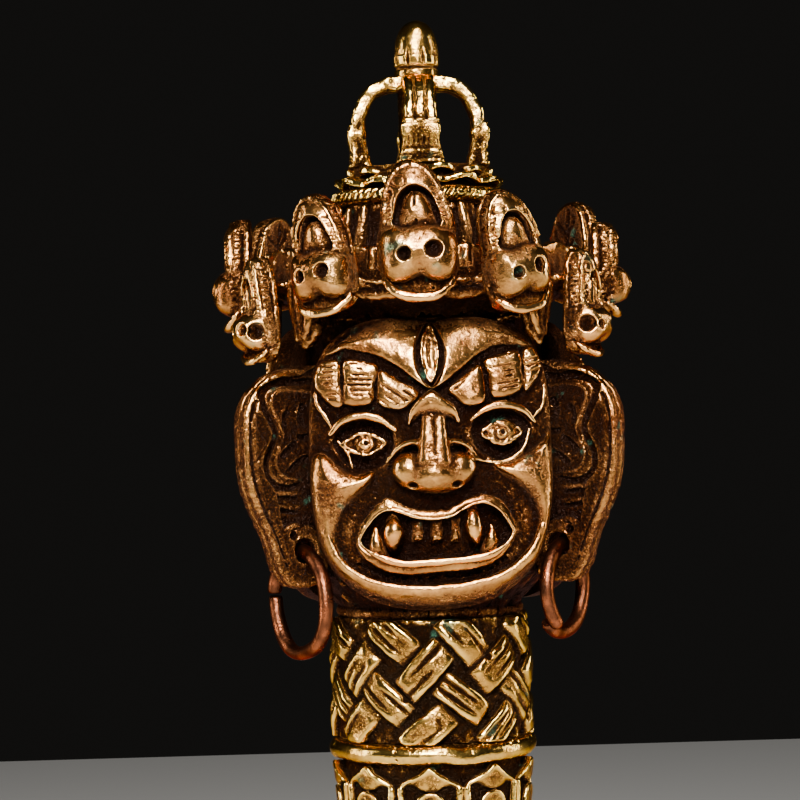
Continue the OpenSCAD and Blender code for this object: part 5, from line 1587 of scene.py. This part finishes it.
def sculptDisc(s, low, high):
    # Two rows of thin, wavy lotus leaves lie round the foot of the prongs, dark between them
    w = turnedClay(s, low, high, (0, s["rim"] + 0.5 - s["inner"]))
    place, x, y, z = w.everywhere()
    share = (z - low) / (high - low)
    w.field[place] = s["inner"] + y - (s["rim"] - 1.7 + (s["top"] - s["rim"]) * share)
    length = w.length
    for row, (rise, reach, thick) in enumerate(((0.75, s["rim"], 0.3), (1.75, s["top"] + 0.15, 0.26))):
        turn = 2 * math.pi * s["leaves"] * x / length + row * math.pi
        edge = reach - 0.75 * np.abs(np.sin(turn / 2)) ** 3 - s["inner"]
        level = low + rise + 0.22 * np.cos(turn) + 0.12 * np.sin(3 * x / s["radius"] + row) - 0.1 * (y - edge)
        leaf = np.maximum(np.abs(z - level) - thick, y - edge)
        w.field[place] = smoothMin(w.field[place], leaf, 0.1)
    for k in range(s["leaves"]):
        x0 = length * k / s["leaves"]
        w.score([(x0 - 1.3, low + 0.7), (x0, low + 1.0), (x0 + 1.3, low + 0.7)], 0.12, 0.2, steps=2)
    allRound(w, s["top"] - 1.1 - s["inner"], high - 0.34, 0.36, 0.1)
    w.weather(*s["finish"])
    closeEnds(w, low, high, 0.1)
    return pour(w, soot=(s["rim"] - 2.2 - s["inner"], s["rim"] - 0.7 - s["inner"], 0.08))


addPiece("disc_cast", sculptDisc(disc, finialRopeSpan[1], span("finial_disc")[1]),
         around(disc["radius"], disc["inner"]), finialBrass, "finial_disc")

post = {"cell": 0.095, "shaft": 1.9, "bullet": 2.33, "flutes": 9, "finish": [(0.06, 1.2, 141), (0.03, 0.4, 142)]}
postLow, postHigh = span("finial_post")
prongLow, prongHigh = span("prong_front")


def turnOn(w, radiusAt):
    # Clay turned about the block's own upright axis
    place, x, y, z = w.everywhere()
    w.field[place] = np.sqrt(x * x + y * y) - np.interp(z, *radiusAt)


def sculptPost(s, low, shoulder, high):
    reach = s["bullet"] + 0.25
    w = Clay((-reach, -reach, low), (reach, reach, high + 0.2), s["cell"])
    tip = high - s["bullet"] * 1.6
    dome = [(tip + (high - 0.03 - tip) * math.sin(a), s["bullet"] * 0.95 * math.cos(a) ** 0.9)
            for a in np.linspace(0, 1.57, 16)]
    stops = [(low, s["shaft"]), (shoulder - 1.9, s["shaft"]), (shoulder - 0.6, s["bullet"] - 0.25),
             (shoulder + 0.2, s["bullet"] - 0.15), (shoulder + 0.5, s["bullet"] - 0.15),
             (shoulder + 0.75, s["bullet"] - 0.4), (shoulder + 1.1, s["bullet"] - 0.05), (shoulder + 2.0, s["bullet"]),
             (tip, s["bullet"] * 0.95)] + dome[1:] + [(high + 1, -0.9)]
    turnOn(w, np.array(stops).T)
    for k in range(s["flutes"]):
        a = 2 * math.pi * k / s["flutes"] + math.radians(15)
        c, t, r = math.cos(a), math.sin(a), s["bullet"]
        w.roll([(r * t, r * c, shoulder + 1.2, 0.22), (r * t, r * c, shoulder + 2.8, 0.22),
                (r * t * 0.97, r * c * 0.97, shoulder + 3.9, 0.12)], soft=0.06, cut=True, steps=2)
    w.weather(*s["finish"])
    return pour(w)


addPiece("post_cast", sculptPost(post, postLow, prongHigh, postHigh), facing(), finialBrass, "finial_post")

prong = {
    "cell": 0.095,
    # out from the axis, share of the height, half thickness, half width
    "line": [(5.9, 0.0, 1.15, 2.25), (5.95, 0.12, 0.95, 2.0), (6.12, 0.28, 0.88, 1.8), (6.3, 0.37, 1.0, 1.9),
             (6.02, 0.45, 0.74, 1.65), (5.95, 0.53, 0.7, 1.6), (5.6, 0.66, 0.68, 1.5), (4.8, 0.8, 0.68, 1.5),
             (3.5, 0.89, 0.72, 1.5), (1.9, 0.92, 0.75, 1.5)],
    "turns": {"front": 0, "right": 90, "back": 180, "left": 270},
    "finish": [(0.07, 0.9, 151), (0.03, 0.4, 152)],
}


def sculptProng(s, low, high, reach):
    w = Clay((-2.35, 1.3, low), (2.35, reach + 0.15, high + 0.15), s["cell"])
    line = [(out, low + share * (high - low), thick, wide) for out, share, thick, wide in s["line"]]
    path = smoothPath(line, 6)
    place, x, y, z = w.everywhere()
    y2, z2 = np.broadcast_arrays(y[0], z[0])
    best = np.full(y2.shape, 9.0)
    wide = np.full(y2.shape, 1.5)
    for a, b in zip(path[:-1], path[1:]):
        ex, ez = b[0] - a[0], b[1] - a[1]
        share = unit(((y2 - a[0]) * ex + (z2 - a[1]) * ez) / (ex * ex + ez * ez))
        gap = np.sqrt((y2 - a[0] - share * ex) ** 2 + (z2 - a[1] - share * ez) ** 2) - (a[2] + share * (b[2] - a[2]))
        near = gap < best
        best = np.where(near, gap, best)
        wide = np.where(near, a[3] + share * (b[3] - a[3]), wide)
    w.field[place] = smoothMax(best[None], np.abs(x) - wide[None], 0.5)
    # three ridges along its back, cuts across at the foot and the waist
    edge = [(p[0] + n[0] * (p[2] + 0.05), p[1] + n[1] * (p[2] + 0.05)) for p, n in
            ((path[k], np.array([path[k + 1][1] - path[k - 1][1], path[k - 1][0] - path[k + 1][0]]) /
              math.hypot(path[k + 1][0] - path[k - 1][0], path[k + 1][1] - path[k - 1][1]))
             for k in range(1, len(path) - 1))]
    upper = [p for p in edge if p[1] > low + 0.47 * (high - low)]
    for side in (-0.55, 0.55):
        w.roll([(side, p[0], p[1], 0.22) for p in upper], soft=0.06, cut=True, steps=1)
    lower = [p for p in edge if low + 0.17 * (high - low) < p[1] < low + 0.4 * (high - low)]
    for side in np.linspace(-1.25, 1.25, 6):
        w.roll([(side, p[0], p[1], 0.16) for p in lower], soft=0.05, cut=True, steps=1)
    for share, r in ((0.05, 0.18), (0.1, 0.18), (0.15, 0.2), (0.44, 0.26)):
        spot = min(edge, key=lambda p: abs(p[1] - low - share * (high - low)))
        w.roll([(-2.4, spot[0] - 0.35, spot[1], r), (-1.3, spot[0], spot[1], r), (1.3, spot[0], spot[1], r),
                (2.4, spot[0] - 0.35, spot[1], r)], soft=0.06, cut=True, steps=2)
    # a thorn on each flank at the waist
    for side in (-1, 1):
        w.ball((side * 1.45, 6.0, low + 0.36 * (high - low)), (0.5, 0.85, 0.6), soft=0.2)
    w.weather(*s["finish"])
    w.trim(lambda x, y, z: 1.35 - y, 0.2)
    w.trim(lambda x, y, z: y - reach + 0.02, 0.1)
    cast = pour(w)
    # darker on the flanks and inside the arch; the back and its edges stay lighter
    x, y, z = cast.points.T
    rise = (z - low) / (high - low)
    inside = np.hypot((y - 1.5) / 4.6, (np.maximum(rise, 0.4) - 0.4) / 0.52) < 1
    flank = unit((np.abs(x) - 1.2) / 0.3) * unit(1.6 - 1.5 * rise)
    cast.hollow = cast.hollow + 0.09 * inside + 0.07 * flank * ~inside
    return cast


prongCast = sculptProng(prong, prongLow, prongHigh, -nodeBox("prong_front")[0][1])
for name, turn in prong["turns"].items():
    addPiece("prong_cast_" + name, prongCast, facing(turn), finialBrass, "prong_" + name)
report("half vajra")

# The sea beast that bites the blade
beast = {
    "cell": 0.17, "body": 9.6, "reach": 12.6, "wide": 13.2, "petals": 18,
    "ground": [(0.3, 1.3, 161)], "finish": [(0.08, 0.9, 163)],
}
beastLow, beastHigh = span("beast_head")


def sculptBeast(s, low, high):
    w = Clay((-s["wide"], -s["wide"], low), (s["wide"], s["wide"], high), s["cell"])
    turnOn(w, np.array([(low, 5.9), (low + 4, 6.4), (low + 10, 7.6), (low + 14, 9.0), (high - 5.5, s["body"]),
                        (high - 2.5, 9.2), (high - 0.8, 8.3), (high, 7.9)]).T)
    w.weather(*s["ground"])
    rng = np.random.default_rng(162)
    for turn in thirds.values():
        c, t = cosSin(turn)

        def at(across, out, drop):
            return across * c + out * t, out * c - across * t, high - drop

        def along(points, soft, steps=5):
            w.roll([(*at(a, o, d), r) for a, o, d, r in points], soft=soft, steps=steps)
        # snout, curled up at its end, over an open jaw
        along([(0, 4.0, 6.0, 4.2), (0, 7.2, 8.4, 3.7), (0, 9.2, 11.2, 2.8), (0, 10.6, 13.6, 2.0)], 0.7)
        along([(0, 9.9, 12.6, 2.0), (0, 11.2, 14.2, 1.35), (0, 12.0, 13.4, 0.85), (0, 11.9, 12.1, 0.55),
               (0, 11.2, 11.5, 0.35)], 0.35)
        along([(0, 4.0, 12.5, 3.0), (0, 6.6, 15.6, 2.3), (0, 8.3, 18.4, 1.5), (0, 8.6, 20.2, 0.7)], 0.5)
        for side in (-1, 1):
            # lips, teeth, nostril, eye, brow, ear and horn
            along([(side * 3.9, 6.8, 10.2, 0.5), (side * 3.2, 9.0, 12.6, 0.55), (side * 1.7, 10.6, 15.0, 0.5),
                   (side * 0.5, 11.2, 15.7, 0.4)], 0.2)
            along([(side * 3.0, 6.4, 15.4, 0.4), (side * 1.9, 8.2, 18.3, 0.42), (side * 0.5, 9.0, 20.2, 0.35)], 0.2)
            for k in range(5):
                share = k / 4
                a, o, d = side * (3.5 - 2.2 * share), 8.0 + 2.6 * share, 12.0 + 3.4 * share
                along([(a, o, d, 0.5), (a * 0.97, o - 0.1, d + 1.15, 0.14)], 0.1, 2)
            w.ball(at(side * 0.75, 11.1, 13.0), (0.34, 0.34, 0.34), soft=0.1, cut=True)
            w.ball(at(side * 3.5, 8.3, 5.7), (1.75, 1.75, 1.75), soft=0.3)
            w.ball(at(side * 3.75, 9.85, 5.75), (0.5, 0.5, 0.5), soft=0.08, cut=True)
            along([(side * 1.3, 9.6, 6.2, 0.4), (side * 2.2, 9.9, 4.4, 0.55), (side * 3.9, 9.4, 3.5, 0.6),
                   (side * 5.5, 8.1, 4.3, 0.45)], 0.2)
            along([(side * 2.0, 9.4, 7.6, 0.3), (side * 3.6, 9.2, 7.9, 0.38), (side * 5.0, 8.3, 7.0, 0.3)], 0.15)
            along([(side * 5.2, 7.2, 7.4, 1.3), (side * 6.4, 6.6, 4.8, 1.1), (side * 7.0, 5.6, 2.4, 0.45)], 0.35)
            w.ball(at(side * 6.6, 7.4, 5.2), (0.55, 0.55, 1.2), soft=0.15, cut=True)
            for k in range(3):
                along([(side * (5.0 + 0.9 * k), 7.3 - 0.9 * k, 9.4 - 0.3 * k, 0.75),
                       (side * (5.3 + 0.9 * k), 7.0 - 0.9 * k, 12.0, 0.65),
                       (side * (4.6 + 0.9 * k), 6.6 - 0.9 * k, 14.4, 0.5),
                       (side * (3.9 + 0.9 * k), 6.0 - 0.9 * k, 15.6, 0.2)], 0.15)
        for k in range(3):
            along([(-1.3, 9.5 + 0.5 * k, 8.3 + 1.5 * k, 0.25), (0, 10.5 + 0.45 * k, 8.0 + 1.45 * k, 0.3),
                   (1.3, 9.5 + 0.5 * k, 8.3 + 1.5 * k, 0.25)], 0.1, 3)
        w.ball(at(0, 9.6, 3.6), (1.0, 1.0, 1.5), soft=0.25)
    # petals of hair under the knot
    for k in range(s["petals"]):
        a = 2 * math.pi * k / s["petals"]
        r = rng.uniform(0.75, 0.9)
        w.roll([(8.0 * math.sin(a), 8.0 * math.cos(a), high - 0.4, r),
                (9.3 * math.sin(a + 0.06), 9.3 * math.cos(a + 0.06), high - 2.3, r * 0.7)], soft=0.15, steps=3)
    w.weather(*s["finish"])
    w.trim(lambda x, y, z: np.sqrt(x * x + y * y) - s["reach"], 0.2)
    closeEnds(w, low, high)
    cast = pour(w)
    deep = unit((s["body"] - np.hypot(cast.points[:, 0], cast.points[:, 1])) / 1.6)
    cast.hollow = cast.hollow + 0.03 + 0.08 * deep
    return cast


addPiece("beast_cast", sculptBeast(beast, beastLow, beastHigh), facing(), headCopper, "beast_head")
report("beast")

# Blade and serpents
blade = {
    "jaw": beastLow, "shoulder": 9.0,
    "edgeTop": 9.2, "edge": 11.5, "point": 0.35,
    "fuller": 0.45,                    # depth of the hollow on each side of a flank's middle
    "bevel": 0.16,                     # share of a half flank that the filed bevel takes
}


def forgeBlade(s, low):
    # Three flanks between three edges; each has a flat middle for its serpent, two fullers and filed bevels
    rng = np.random.default_rng(171)
    drift = rng.uniform(-1, 1, 12)
    heights = s["jaw"] - np.concatenate([np.linspace(0, s["shoulder"], 22)[:-1],
                                         np.linspace(s["shoulder"], s["jaw"] - low, 190)])
    steps = np.linspace(-1, 1, 41)[:-1]
    rings, hollow = [], []
    for z in heights:
        down = s["jaw"] - z
        if down < s["shoulder"]:
            edge = s["edgeTop"] + (s["edge"] - s["edgeTop"]) * down / s["shoulder"]
        else:
            edge = s["edge"] + (s["point"] - s["edge"]) * (down - s["shoulder"]) / (s["jaw"] - low - s["shoulder"])
        fade = min(max((down - 3.5) / 2.0, 0), 1) * min(max((edge - 1.8) / 3.0, 0), 1)
        ring, dark = [], []
        for side in range(3):
            a = math.radians(-30 + 120 * side)
            b = a + math.radians(120)
            mid = a + math.radians(60)
            for t in steps:
                share = (t + 1) / 2
                px = edge * ((1 - share) * math.cos(a) + share * math.cos(b))
                py = edge * ((1 - share) * math.sin(a) + share * math.sin(b))
                off = abs(t)
                bowl = math.sin(math.pi * min(max((off - 0.3) / (1 - s["bevel"] - 0.3), 0), 1)) ** 0.5
                sunk = s["fuller"] * bowl * fade + 0.02 * (1 + math.sin(z * 1.9 + 5 * drift[side] + 3 * t))
                sunk = min(sunk, edge * 0.2)
                ring.append((px - sunk * math.cos(mid), py - sunk * math.sin(mid), z))
                rimmed = 1 if bowl * fade > 0.02 and bowl < 0.7 else 0
                dark.append(0.46 + 0.1 * bowl * fade + 0.03 * rimmed + 0.05 * (off < 0.28) * fade
                            - (0.06 if off > 0.94 else 0) + 0.06 * (1 - fade))
        rings.append(ring)
        hollow.append(dark)
    return loft(rings, hollow)


addPiece("blade_filed", forgeBlade(blade, span("blade")[0]), lambda p: p, bladeBrass, "blade")

serpent = {
    "cell": 0.11, "bends": 9, "first": 4.07, "taper": 0.86,
    "thick": 1.0, "flank": 5.75, "lean": 6.12, "gap": 0.03,
    "finish": [(0.05, 0.8, 181)], "soot": (0.1, 0.8, 0.12),
}


def sculptSerpent(s):
    # Zigzag of half rings down the flank, from a raised head to a thin tail
    line, top, r = [], 0.2, s["first"]
    total = sum(s["first"] * s["taper"] ** k for k in range(s["bends"])) * 2
    for k in range(s["bends"]):
        side = -1 if k % 2 else 1
        for a in np.linspace(0, math.pi, 9)[:-1]:
            z = top - r + r * math.cos(a)
            line.append((side * r * math.sin(a) * 0.98, 0.25, z, s["thick"] * (1 - 0.6 * (0.2 - z) / total)))
        top, r = top - 2 * r, r * s["taper"]
    line.append((0, 0.2, top, 0.2))
    w = Clay((-5.3, -0.1, top - 0.5), (5.3, 1.75, 2.6), s["cell"])
    w.roll([(0, 0.3, 0.9, s["thick"] * 0.95)] + line, soft=0.1, steps=2)
    # neck and head
    w.roll([(0, 0.35, 0.2, 0.95), (0.1, 0.5, 1.0, 1.05), (0.2, 0.55, 1.6, 0.6)], soft=0.25)
    for side in (-1, 1):
        w.ball((0.1 + side * 0.5, 1.35, 0.95), (0.26, 0.26, 0.3), soft=0.05)
    w.score([(-0.5, 1.6), (0.15, 1.85), (0.8, 1.6)], 0.2, 0.25)
    # belly scales cut across the body
    path = smoothPath([p[:1] + p[2:] for p in line], 2)
    for k in range(2, len(path) - 4):
        dx, dz = path[k + 1][0] - path[k - 1][0], path[k + 1][1] - path[k - 1][1]
        size = math.hypot(dx, dz)
        r = path[k][2] * 0.85
        w.score([(path[k][0] - dz / size * r, path[k][1] + dx / size * r), (path[k][0], path[k][1]),
                 (path[k][0] + dz / size * r, path[k][1] - dx / size * r)], 0.13, 0.24, steps=1)
    w.weather(*s["finish"])
    w.trim(lambda x, y, z: -y, 0.1)
    return pour(w, soot=s["soot"])


def onFlank(s, turn, shoulder):
    c, n = cosSin(s["lean"])
    put = facing(turn, 0, shoulder)

    def place(p):
        out = s["flank"] + (p[:, 1] + s["gap"]) * c + p[:, 2] * n
        up = p[:, 2] * c - (p[:, 1] + s["gap"]) * n
        return put(np.stack([p[:, 0], out, up], 1))
    return place


serpentCast = sculptSerpent(serpent)
for name, turn in thirds.items():
    addPiece("serpent_cast_" + name, serpentCast, onFlank(serpent, turn, blade["jaw"] - blade["shoulder"]), bladeBrass,
             "serpent_" + name)
report("blade and serpents")


def brushedSteel(name, s):
    # Drawn steel bar: even grey with fine marks along its length
    material, tree, shader = newMaterial(name)
    spot = addNode(tree, "ShaderNodeTexCoord")
    stretch = addNode(tree, "ShaderNodeMapping", {"Scale": (1.0, 1.0, 0.03)}, Vector=(spot, "Object"))
    marks = (addNode(tree, "ShaderNodeTexNoise", {"Scale": scaleFor(s["marks"]), "Detail": 4.0},
                     Vector=(stretch, "Vector")), "Fac")
    smooth, dull = s["rough"]
    feed(shader, "Roughness", addNode(tree, "ShaderNodeMapRange", {1: 0.3, 2: 0.7, 3: smooth, 4: dull}, i0=marks))
    feed(shader, "Normal", addNode(tree, "ShaderNodeBump", {"Strength": 1.0, "Distance": s["depth"] * mm},
                                   Height=marks))
    shader.inputs["Base Color"].default_value = linear(s["colour"])
    shader.inputs["Metallic"].default_value = 1.0
    return material


rodSteel = brushedSteel("brushedSteelDrawnBar", {"marks": 0.12, "rough": (0.28, 0.42), "depth": 0.01,
                                                  "colour": "#a9abad"})
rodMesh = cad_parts["rod"].data
rodMesh.materials.clear()
rodMesh.materials.append(rodSteel)

# Floor and light
stage = {
    "floor": "#cfccc6",       # plain pale card
    "floorHalf": 1.2,         # m
    "world": "#4b4946",
    "worldStrength": 0.11,
    "aim": (0, 0, 0.055),     # m, the point that every lamp faces
    # place and size in m, power in W
    "lamps": {
        "keyBox": ((-0.08, -0.57, 0.35), (0.17, 0.14), 19),
        "topBox": ((0.04, -0.34, 0.5), (0.2, 0.14), 5),
        "rightStrip": ((0.5, 0.05, 0.12), (0.06, 0.4), 2.0),
        "leftStrip": ((-0.5, 0.0, 0.12), (0.06, 0.4), 2.2),
        "frontFill": ((0.12, -0.6, 0.16), (0.07, 0.1), 2.0),
    },
}


def flatMaterial(name, colour, roughness):
    material, tree, shader = newMaterial(name)
    shader.inputs["Base Color"].default_value = linear(colour)
    shader.inputs["Roughness"].default_value = roughness
    return material


def layFloor(s):
    depth, wide = cadBounds[0][2], s["floorHalf"]
    mesh = bpy.data.meshes.new("floor")
    mesh.from_pydata([(-wide, -wide, depth), (wide, -wide, depth), (wide, wide, depth), (-wide, wide, depth)],
                     [], [(0, 1, 2, 3)])
    floor = bpy.data.objects.new("floor", mesh)
    bpy.context.scene.collection.objects.link(floor)
    mesh.materials.append(flatMaterial("paleCard", s["floor"], 0.9))


def softbox(name, spot, aim, size, power):
    data = bpy.data.lights.new(name, "AREA")
    data.shape = "RECTANGLE"
    data.size, data.size_y = size
    data.energy = power
    lamp = bpy.data.objects.new(name, data)
    spot, aim = Vector(spot), Vector(aim)
    lamp.matrix_world = Matrix.Translation(spot) @ (aim - spot).to_track_quat("-Z", "Y").to_matrix().to_4x4()
    bpy.context.scene.collection.objects.link(lamp)


layFloor(stage)
world = bpy.data.worlds.new("studio")
bpy.context.scene.world = world
world.use_nodes = True
backdrop = world.node_tree.nodes["Background"]
backdrop.inputs[0].default_value = linear(stage["world"])
backdrop.inputs[1].default_value = stage["worldStrength"]
for name, (spot, size, power) in stage["lamps"].items():
    softbox(name, spot, stage["aim"], size, power)
report("floor and lights set")
